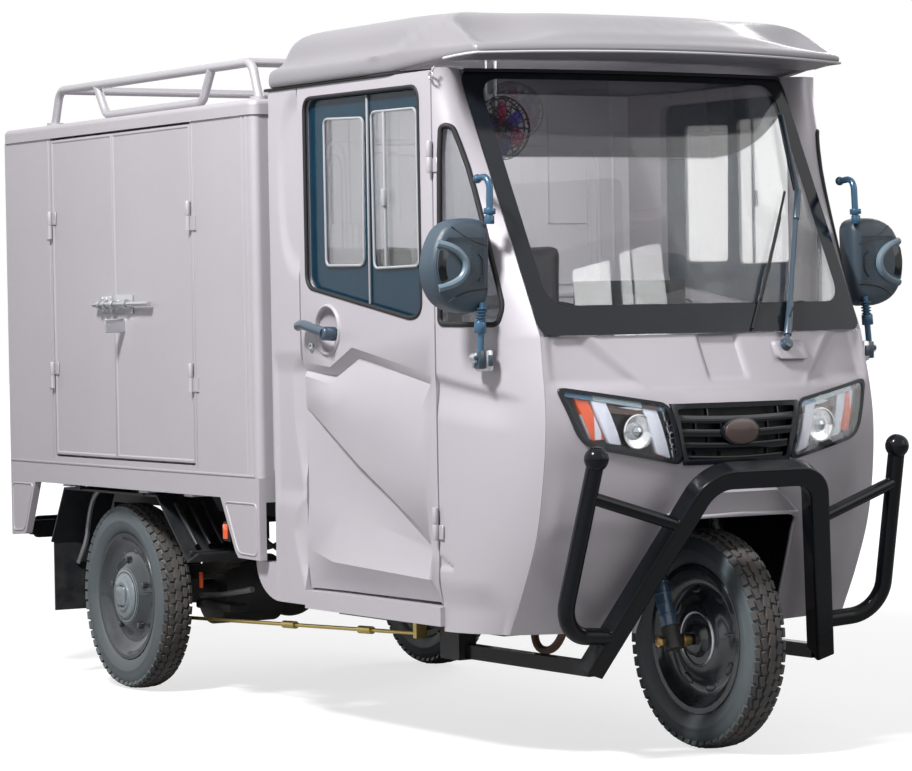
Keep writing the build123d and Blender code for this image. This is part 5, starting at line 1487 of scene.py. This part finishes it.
def makeBoxTrim():
    # folded seams, corner ribs and the drip edge of the box
    face = -trike["boxHalf"]
    bm = bmesh.new()
    for side in (-1, 1):
        for x in (-258, -1156):
            addBox(bm, (x - 2, side * 587, 640), (x + 2, side * 590, 1548), 1)
        for x in (22, 46):
            addTube(bm, [(x, side * 587.4, 626), (x, side * 587.4, 1548)], 3.2, 1, 8)
        addBox(bm, (-1456, side * 587, 624), (60, side * 590.5, 630), 1)
    for y in (-540, -180, 180, 540):
        addTube(bm, [(80.2, y, 640), (80.2, y, 1540)], 3.4, 1, 8)
    finishPiece("boxSeams", bm, boxPaint, "vehicle", [], 40)
    border = bmesh.new()
    outlines = (
        [(66, 556), (-106, 556), (-46, 444), (-30, 426), (66, 424)],
        [(-1446, 560), (-1306, 560), (-1366, 434), (-1380, 424), (-1446, 420)],
    )
    for outline in outlines:
        for side in (-1, 1):
            ring = [(x, side * 588.2, z) for x, z in flatOutline(outline, 14, 4)]
            addRing(border, ring, 2.6)
    finishPiece("gussetBorders", border, boxPaint, "vehicle", [], 40)
    ribs = bmesh.new()
    for side in (-1, 1):
        for y in (446, 486, 526):
            low = Vector((trike["rearAxle"] + 452, side * y, 420))
            high = Vector((trike["rearAxle"] + 326, side * y, 530))
            addRod(ribs, low + Vector((2, 0, 4)), high + Vector((2, 0, 4)), 7, 7, 12, 3)
        addBox(ribs, (trike["rearAxle"] + 462, side * 408, 404), (trike["rearAxle"] + 482, side * 556, 412), 2)
    finishPiece("mudguardRibs", ribs, framePaint, "vehicle", [], 40)


makeBoxTrim()
print("box trim made")


def makeUnderside():
    # mudguard stays, hoses, reflectors and the motor's wiring case
    grey, dark, amber = bmesh.new(), bmesh.new(), bmesh.new()
    for side in (-1, 1):
        y = side * 480
        addTube(
            grey,
            [(-1072, y, 553), (-1114, y, 535), (-1143, y, 505), (-1167, y, 450), (-1178, y, 400), (-1236, y, 330)], 7,
            30, 12,
        )
        # ribbed hose in the gap between box and cab
        for step in range(22):
            addLathe(dark, [(-3.6, 9), (-1.6, 12), (1.6, 12), (3.6, 9)], (99, side * 522, 418 + step * 8), "Z", 16)
        addRod(dark, (99, side * 522, 404), (99, side * 522, 604), 9, 9, 16)
        addBox(dark, (84, side * 470, 400), (113, side * 510, 596), 3)
        addBox(amber, (-204, side * 541, 452), (-180, side * 547, 492), 3)
        addBox(dark, (-210, side * 536, 446), (-174, side * 541, 498), 2)
    addTube(grey, [(-690, -362, 262), (-560, -362, 272), (-390, -362, 297)], 8, 20, 12)
    addBox(dark, (-672, -392, 230), (-470, -330, 252), 6)
    addBox(dark, (-150, -420, 380), (60, -300, 480), 8)
    for start in (-640, -520, -420):
        addTube(
            dark, [(start, -300, 480), (start + 40, -330, 430), (start + 130, -320, 400), (start + 180, -290, 430)],
            6, 30, 10,
        )
    addBox(amber, (-585, -424, 293), (-569, -418, 336), 2)
    finishPiece("mudguardStays", grey, greySteel, "vehicle", [], 40)
    finishPiece("undersideHoses", dark, mouldedBlack, "vehicle", [], 40)
    finishPiece("sideReflectors", amber, amberLens, "vehicle", [], 40)
    hose = bmesh.new()
    addTube(
        hose, [(850, -250, 300), (858, -262, 232), (930, -262, 222), (968, -250, 262), (978, -240, 345)], 10, 40, 12,
    )
    finishPiece("brownHoseRun", hose, brownHose, "vehicle", [], 60)


makeUnderside()

mirror = {
    "outline": [
        (-526, 1240), (-556, 1254), (-606, 1254), (-650, 1236), (-676, 1192), (-687, 1144), (-680, 1094), (-654, 1056),
        (-606, 1037), (-556, 1037), (-532, 1066),
    ],
    "middle": Vector((-606, 1146)),
    # columns: place along x, share of the outline
    "shell": [
        (1062, 0.90), (1055, 0.93), (1054, 0.97), (1058, 1.0), (1094, 1.0), (1104, 0.985), (1111, 0.95), (1116, 0.88),
        (1119, 0.76), (1121, 0.5),
    ],
    "ribs": 26,
    "hook": [
        (1112, -668, 1196), (1121, -636, 1188), (1123, -611, 1172), (1124, -596, 1149), (1123, -604, 1122),
        (1120, -628, 1104), (1112, -668, 1094),
    ],
    "recess": [(-668, 1188), (-640, 1180), (-619, 1160), (-621, 1136), (-641, 1114), (-668, 1104), (-676, 1144)],
}


def addLoft(bm, rings):
    # joins rings of equally many points and closes both ends
    made = [[bm.verts.new(point) for point in ring] for ring in rings]
    faces = []
    for low, high in zip(made, made[1:]):
        for index in range(len(low)):
            after = (index + 1) % len(low)
            faces.append(bm.faces.new((low[index], low[after], high[after], high[index])))
    faces += [bm.faces.new(made[0][::-1]), bm.faces.new(made[-1])]
    bmesh.ops.recalc_face_normals(bm, faces=faces)
    return faces


def makeMirror(label, left):
    bm = bmesh.new()
    outline = flatOutline(mirror["outline"], 18, 4)
    rings = []
    for x, share in mirror["shell"]:
        ring = [mirror["middle"].lerp(Vector(point), share) for point in outline]
        rings.append([(x, point.x, point.y) for point in ring])
    faces = addLoft(bm, rings)
    faces[-2].material_index = 1
    # raised hook round a dark recess, fine ribs, and seams pressed in the shell
    with painted(bm, 2):
        addTube(bm, mirror["hook"], 9.5, 16, 12)
    with painted(bm, 4):
        addPlate(bm, flatOutline(mirror["recess"], 12, 4), 1112, 8.5, "YZ", 2)
    with painted(bm, 3):
        addTube(
            bm,
            [(1116, -644, 1063), (1120, -622, 1076), (1121.5, -596, 1085), (1121, -563, 1090), (1118, -540, 1091)],
            1.8, 10, 8,
        )
        addTube(bm, [(1116, -632, 1234), (1120, -601, 1212), (1121.5, -568, 1198), (1118, -541, 1190)], 1.8, 10, 8)
        addTube(bm, [(1121.5, -565, 1171), (1121.5, -553, 1160), (1121.5, -554, 1124), (1121.5, -566, 1108)], 1.8, 6, 8)
    for row in range(mirror["ribs"]):
        z = 1098 + row * 4.4
        start = -650 if z > 1196 else -588
        addBox(bm, (1117, start + 4 * (row % 2), z), (1122, -546, z + 1.8), 0.5, 1)
    rods = bmesh.new()
    addTube(rods, [(1064, -528, 1346), (1100, -530, 1350), (1116, -528, 1334), (1118, -531, 1240)], 8, 14, 12)
    addBall(rods, (1062, -527, 1346), 11)
    addRod(rods, (1118, -530, 1276), (1118, -531, 1262), 14, 14, 20, 2)
    addRod(rods, (1118, -531, 1260), (1118, -532, 1240), 11, 12, 20, 1)
    for step in range(5):
        addLathe(
            rods, [(-3, 8), (-1, 14 - step * 0.5), (1, 14 - step * 0.5), (3, 8)],
            (1119, -556 - step, 1046 - step * 7), "Z", 20,
        )
    addRod(rods, (1119, -561, 1016), (1119, -563, 990), 14, 14, 20, 2)
    addTube(rods, [(1119, -555, 1060), (1122, -566, 925)], 7.5, 2, 12)
    plate = bmesh.new()
    addBox(plate, (1082, -556, 902), (1136, -536, 952), 6, 2)
    addBox(plate, (1086, -566, 908), (1122, -552, 946), 4, 2)
    addRod(plate, (1124, -575, 934), (1108, -575, 934), 12, 12, 20, 2)
    clamp = bmesh.new()
    addBox(clamp, (1108, -574, 908), (1130, -556, 950), 3, 2)
    addRod(clamp, (1122, -578, 934), (1127, -578, 934), 6, 6, 6, 1)
    addRod(clamp, (1122, -559, 932), (1125, -559, 932), 7, 7, 20, 1)
    addBox(clamp, (1134, -552, 914), (1139, -540, 940), 2, 2)
    for item in (bm, rods, plate, clamp):
        if left:
            turnLeft(item)
    finishes = [mirrorShellPaint, mirrorGlass, mirrorHookPaint, glossBlack, wiperBlue]
    finishPiece(f"mirrorShell.{label}", bm, finishes, "vehicle", ["mirrors"], 30)
    finishPiece(f"mirrorArm.{label}", rods, mirrorArmPaint, "vehicle", ["mirrors"], 40)
    finishPiece(f"mirrorPlate.{label}", plate, zincPlate, "vehicle", ["mirrors"], 40)
    finishPiece(f"mirrorClamp.{label}", clamp, wiperBlue, "vehicle", ["mirrors"], 40)


makeMirror("right", False)
makeMirror("left", True)

wiper = {
    "pivot": (1279, 186, 947), "elbow": (385, 1322), "tip": (417, 1510), "bladeLow": (103, 988),
    "bladeHigh": (349, 1318),
}


def glassPath(low, high, lift, count=10):
    path = []
    for share in range(count + 1):
        y = low[0] + (high[0] - low[0]) * share / count
        z = low[1] + (high[1] - low[1]) * share / count
        path.append(Vector((glassX(y, z) + lift, y, z)))
    return path


def makeWiper():
    bm = bmesh.new()
    pivot = Vector(wiper["pivot"])
    normal = Vector((0.86, 0.1, 0.5))
    addRod(bm, pivot - normal * 12, pivot + normal * 18, 17, 14, 24, 4)
    elbow = Vector((glassX(*wiper["elbow"]) + 17, *wiper["elbow"]))
    tip = Vector((glassX(*wiper["tip"]) + 14, *wiper["tip"]))
    addTube(bm, [pivot + normal * 8, pivot.lerp(elbow, 0.12) + normal * 10, elbow, tip], 6.5, 12, 12)
    addRod(bm, pivot.lerp(elbow, 0.05) + normal * 9, pivot.lerp(elbow, 0.26) + normal * 9, 10, 8, 16, 3)
    addRod(bm, pivot.lerp(elbow, 0.8) + normal * 4, elbow + normal * 3, 9, 9, 16, 3)
    boss = bmesh.new()
    addPatch(boss, flatOutline([(152, 958), (246, 958), (256, 914), (156, 916)], 10, 4), 9, 16, 4)
    finishPiece("wiperBoss", boss, bodyPaint, "vehicle", [], 40)
    finishPiece("wiperArm", bm, wiperBlue, "vehicle", ["wiper"], 40)
    blade = bmesh.new()
    path = glassPath(wiper["bladeLow"], wiper["bladeHigh"], 5)
    addTube(blade, path, 3.4, 10, 8)
    addTube(blade, [point + Vector((5, 0, 3)) for point in path[2:9]], 3.6, 10, 8)
    upper = glassPath(wiper["elbow"], wiper["tip"], 5)
    addTube(blade, upper, 3.4, 10, 8)
    addTube(blade, [(1262, 214, 1016), (1258, 236, 1048), (1252, 262, 1052)], 2.2, 8, 8)
    finishPiece("wiperBlade", blade, rubberSeal, "vehicle", ["wiper"], 40)


makeWiper()

fan = {"centre": (755, -263, 1483), "radius": 77, "wires": 20, "blades": 6}


def makeFan():
    x, y, z = fan["centre"]
    cage = bmesh.new()
    for radius, dx in ((77, 0), (72, 12), (52, 20), (30, 24), (72, -12), (52, -18), (30, -20)):
        addLathe(
            cage, [(-1.6, radius - 1.6), (1.6, radius - 1.6), (1.6, radius + 1), (-1.6, radius + 1)], (x + dx, y, z),
            "X", 48,
        )
    for index in range(fan["wires"]):
        angle = math.tau * index / fan["wires"]
        reach = Vector((0, math.cos(angle), math.sin(angle)))
        centre = Vector((x, y, z))
        for sign in (1, -1):
            wire = [
                centre + reach * radius + Vector((sign * bulge, 0, 0))
                for radius, bulge in ((77, 0), (70, 14), (30, 24), (8, 25))
            ]
            addTube(cage, wire, 1.3, 14, 6)
    addRod(cage, (x + 20, y, z), (x + 28, y, z), 15, 14, 24, 2)
    addRod(cage, (x - 70, y, z), (x - 24, y, z), 31, 26, 32, 4)
    finishPiece("fanCage", cage, glossBlack, "vehicle", ["fan"], 40)
    blades = bmesh.new()
    for index in range(fan["blades"]):
        angle = math.tau * index / fan["blades"]
        turn = Matrix.Rotation(angle, 4, "X") @ Matrix.Translation((0, 0, 36))
        turn = turn @ Matrix.Rotation(math.radians(28), 4, "Z")
        with painted(blades, index % 2):
            addBall(blades, (x, y, z), 1, (1, 1, 1), turn @ Matrix.Diagonal((2.5, 21, 31, 1)), 20)
    addRod(blades, (x - 12, y, z), (x + 14, y, z), 15, 13, 24, 3)
    finishPiece("fanBlades", blades, [fanRed, fanBlue], "vehicle", ["fan"], 40)
    rods = bmesh.new()
    for dy in (-14, 14):
        addTube(rods, [(x - 52, y + dy, z), (x - 52, y + dy, 1700)], 5, 2, 12)
    addBox(rods, (x - 74, y - 26, 1694), (x - 30, y + 26, 1700), 2)
    finishPiece("fanRods", rods, whiteSeal, "vehicle", ["fan"], 40)


makeFan()
print("mirrors, wiper and fan made")

seat = {
    "base": {"low": (181, -300, 642), "high": (581, 300, 732)},
    "back": {"low": (140, -290, 752), "high": (212, 290, 1228)},
    "settle": 20, "pressure": 4.0, "cap": 14, "evenness": 0.011,
}


def puff(piece, cap):
    # inflates a closed form a little, as foam under a tight cover
    rest = [vert.co.copy() for vert in piece.data.vertices]
    cloth = piece.modifiers.new("puff", "CLOTH")
    cloth.settings.use_pressure = True
    cloth.settings.uniform_pressure_force = seat["pressure"]
    cloth.settings.effector_weights.gravity = 0
    cloth.point_cache.frame_end = seat["settle"]
    scene = bpy.context.scene
    for step in range(1, seat["settle"] + 1):
        scene.frame_set(step)
    shape = piece.evaluated_get(bpy.context.evaluated_depsgraph_get()).to_mesh()
    moved = [vert.co.copy() for vert in shape.vertices]
    piece.modifiers.remove(cloth)
    scene.frame_set(1)
    for vert, start, end in zip(piece.data.vertices, rest, moved):
        push = end - start
        vert.co = start + push * min(1, cap / 1000 / max(push.length, 1e-9))


def makeCushion(name, part, channels):
    low, high = Vector(seat[part]["low"]), Vector(seat[part]["high"])
    bm = bmesh.new()
    shrink = Vector((9, 9, 9))
    addBox(bm, low + shrink, high - shrink, 22, 4)
    bmesh.ops.scale(bm, vec=(0.001,) * 3, verts=bm.verts)
    blank = asObject(bm, name + "Blank")
    bm.free()
    remesh = blank.modifiers.new("even", "REMESH")
    remesh.mode = "VOXEL"
    remesh.voxel_size = seat["evenness"]
    mesh = bpy.data.meshes.new_from_object(blank.evaluated_get(bpy.context.evaluated_depsgraph_get()))
    piece = bpy.data.objects.new(name, mesh)
    bpy.context.scene.collection.objects.link(piece)
    bpy.data.objects.remove(blank)
    puff(piece, seat["cap"])
    for vert in mesh.vertices:
        co = vert.co
        for line in channels:
            # sewn channels across the cover, on the side that is sat on
            near = abs(co.y * 1000 - line)
            if near < 12:
                dent = 0.006 * (1 - near / 12) ** 2
                if part == "base" and co.z * 1000 > high.z - 40:
                    co.z -= dent
                if part == "back" and co.x * 1000 > low.x + 30:
                    co.x -= dent
        for axis in range(3):
            co[axis] = min(max(co[axis], low[axis] / 1000), high[axis] / 1000)
    for face in mesh.polygons:
        face.use_smooth = True
    smooth = piece.modifiers.new("smooth", "SUBSURF")
    smooth.levels = smooth.render_levels = 1
    mesh.materials.clear()
    mesh.materials.append(seatVinyl)
    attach(piece, "vehicle")
    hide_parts("seat_cushions")


makeCushion("seatCushion", "base", [-180, -60, 60, 180])
makeCushion("seatBack", "back", [-180, -60, 60, 180])
print("cushions made")


def makeCabin():
    # dashboard with its instrument hood, and the pressed rear wall
    bm = bmesh.new()
    outline = flatOutline(
        [(1062, 852), (1228, 852), (1240, 900), (1236, 972), (1150, 976), (1090, 968), (1062, 930)], 16, 5,
    )
    addPlate(bm, outline, -432, 864, "XZ", 6, 3)
    for y in range(-400, 401, 40):
        geom = bm.verts[:] + bm.edges[:] + bm.faces[:]
        bmesh.ops.bisect_plane(bm, geom=geom, plane_co=(0, y, 0), plane_no=(0, 1, 0))
    for vert in bm.verts:
        vert.co.x = min(vert.co.x, noseX(vert.co.y, vert.co.z) - 22)
    for y in (-300, 300):
        for row in range(5):
            addBox(bm, (1058, y - 60, 880 + row * 9), (1066, y + 60, 884 + row * 9), 1)
    finishPiece("dashShell", bm, mouldedBlack, "vehicle", ["dashboard"], 40)
    hood = bmesh.new()
    addBall(hood, (1120, 0, 975), 1, (1, 1, 1), Matrix.Diagonal((62, 190, 44, 1)), 40)
    bmesh.ops.bisect_plane(
        hood, geom=hood.verts[:] + hood.edges[:] + hood.faces[:], plane_co=(0, 0, 970), plane_no=(0, 0, -1),
        clear_outer=True,
    )
    bmesh.ops.holes_fill(hood, edges=[e for e in hood.edges if len(e.link_faces) == 1])
    finishPiece("instrumentHood", hood, whiteSeal, "vehicle", ["dashboard"], 40)
    wall = bmesh.new()
    for y in range(-480, 481, 40):
        if abs(y) > 440 or abs(y) < 60:
            addTube(wall, [(136.5, y, 360), (136.5, y, 1590)], 5, 1, 8)
    for y in (-255, 255):
        outline = flatOutline([(y - 175, 1080), (y + 175, 1080), (y + 175, 1480), (y - 175, 1480)], 60, 6)
        ring = [(137, a, b) for a, b in outline]
        addRing(wall, ring, 8)
        inner = flatOutline([(y - 145, 1110), (y + 145, 1110), (y + 145, 1450), (y - 145, 1450)], 45, 6)
        ring = [(137, a, b) for a, b in inner]
        addRing(wall, ring, 5)
    # the pressings take the same paled cabin paint, partly painted light
    finishPiece("rearWallPressings", wall, cabinPaint, "vehicle", [], 40)
    seam = bmesh.new()
    for side in (-1, 1):
        addTube(seam, [(104, side * 562, 1609), (760, side * 562, 1609), (892, side * 520, 1609)], 4, 60, 8)
    path = [(glassX(y, 1610) + 3, y, 1609.5) for y in range(-460, 461, 46)]
    addTube(seam, path, 4, 4, 8)
    finishPiece("roofSeal", seam, rubberSeal, "vehicle", [], 60)


makeCabin()

tail = {"y": 450, "half": 75, "z": 426, "high": 32, "rear": -1459.5, "front": -1439}


def makeTailLamps():
    bm = bmesh.new()
    for side in (-1, 1):
        y = side * tail["y"]
        with painted(bm, 0):
            outline = flatOutline(
                [(y - 75, 394), (y + 75, 394), (y + 75, 458), (y - 75, 458)], 12, 5,
            )
            addPlate(bm, outline, tail["front"], tail["rear"] + 7 - tail["front"], "YZ", 2, 2)
        for index, (start, end) in ((1, (-69, 12)), (2, (16, 44)), (3, (48, 69))):
            with painted(bm, index):
                ends = sorted((y + side * start, y + side * end))
                lens = flatOutline([(ends[0], 400), (ends[1], 400), (ends[1], 452), (ends[0], 452)], 7, 4)
                addPlate(bm, lens, tail["rear"] + 9, -8.5, "YZ", 2.5, 2)
    finishPiece(
        "tailLampUnits", bm, [mouldedBlack, redLens, amberLens, lightBar], "vehicle", ["tail_lamps"], 40,
    )


makeTailLamps()
print("cabin and tail lamps made")

# Plain studio
camera = {
    "spot": (7.681, -4.649, 1.048), "yaw": 31.49, "pitch": 1.31, "roll": -0.98, "lens": 133.26,
}


def placeCamera():
    yaw, pitch, roll = (math.radians(camera[key]) for key in ("yaw", "pitch", "roll"))
    ahead = Vector((-math.cos(yaw) * math.cos(pitch), math.sin(yaw) * math.cos(pitch), -math.sin(pitch)))
    right = Vector((math.sin(yaw), math.cos(yaw), 0))
    up = right.cross(ahead)
    across = right * math.cos(roll) + up * math.sin(roll)
    above = up * math.cos(roll) - right * math.sin(roll)
    data = bpy.data.cameras.new("photoCamera")
    data.lens = camera["lens"]
    data.sensor_width = 36
    data.clip_end = 200
    eye = bpy.data.objects.new("photoCamera", data)
    bpy.context.scene.collection.objects.link(eye)
    matrix = Matrix((across, above, -ahead)).transposed().to_4x4()
    matrix.translation = Vector(camera["spot"])
    eye.matrix_world = matrix
    bpy.context.scene.camera = eye


placeCamera()

studio = {
    "floor": (0.34, 0.34, 0.34), "glow": 0.7, "sky": 0.24,
    "keyPower": 500, "fillPower": 90, "backPower": 110, "cabinPower": 4.4,
}


def makeStudio():
    world = bpy.data.worlds.new("studioLight")
    bpy.context.scene.world = world
    world.use_nodes = True
    tree = world.node_tree
    back = tree.nodes["Background"]
    back.inputs["Color"].default_value = (1, 1, 1, 1)
    rays = tree.nodes.new("ShaderNodeLightPath")
    seen = mathNode(tree, "MAXIMUM", rays.outputs["Is Camera Ray"], rays.outputs["Is Glossy Ray"])
    seen = mathNode(tree, "MAXIMUM", seen, rays.outputs["Is Transmission Ray"])
    newLink(tree, mathNode(tree, "MULTIPLY_ADD", seen, 1 - studio["sky"], studio["sky"]), back.inputs["Strength"])
    bm = bmesh.new()
    bmesh.ops.create_grid(bm, x_segments=1, y_segments=1, size=40)
    floor = asObject(bm, "studioFloor")
    bm.free()
    finish = makeFinish("floorPaint", studio["floor"], 300.0, 0.02, 0.9, 0.01, 0.0)
    tree = finish.node_tree
    shader = tree.nodes["Principled BSDF"]
    shader.inputs["Emission Color"].default_value = (1, 1, 1, 1)
    rays = tree.nodes.new("ShaderNodeLightPath")
    glow = mathNode(tree, "MAXIMUM", rays.outputs["Is Camera Ray"], rays.outputs["Is Transmission Ray"])
    # the floor pales towards the backdrop
    reach = tree.nodes.new("ShaderNodeVectorMath")
    reach.operation = "LENGTH"
    newLink(tree, objectCoords(tree), reach.inputs[0])
    pale = tree.nodes.new("ShaderNodeMapRange")
    for socket, value in (("From Min", 3.0), ("From Max", 9.0), ("To Min", studio["glow"]), ("To Max", 1.0)):
        pale.inputs[socket].default_value = value
    newLink(tree, reach.outputs["Value"], pale.inputs["Value"])
    newLink(tree, mathNode(tree, "MULTIPLY", glow, pale.outputs["Result"]), shader.inputs["Emission Strength"])
    floor.data.materials.append(finish)
    floor.data.transform(Matrix.Translation((0, 0, -0.0005)))
    for label, spot, power, size in (
        ("keyLight", (1.7, -3.6, 4.8), studio["keyPower"], 0.8),
        ("fillLight", (6.5, 4.0, 4.0), studio["fillPower"], 4.0),
        ("backLight", (-3.5, 6.0, 3.6), studio["backPower"], 3.0),
    ):
        data = bpy.data.lights.new(label, "AREA")
        data.energy = power
        data.size = size
        lamp = bpy.data.objects.new(label, data)
        bpy.context.scene.collection.objects.link(lamp)
        lamp.location = spot
        lamp.rotation_euler = (Vector((0, 0, 0.7)) - Vector(spot)).to_track_quat("-Z", "Y").to_euler()
    # daylight that reaches the cab through its windows
    data = bpy.data.lights.new("cabinLight", "AREA")
    data.energy, data.size = studio["cabinPower"], 0.5
    lamp = bpy.data.objects.new("cabinLight", data)
    bpy.context.scene.collection.objects.link(lamp)
    lamp.location = (0.86, 0, 1.45)
    lamp.rotation_euler = Vector((-1, 0, -0.25)).to_track_quat("-Z", "Y").to_euler()
    lamp.visible_camera = lamp.visible_glossy = lamp.visible_transmission = False
    bpy.context.scene.view_settings.view_transform = "Standard"


makeStudio()
print("studio made")
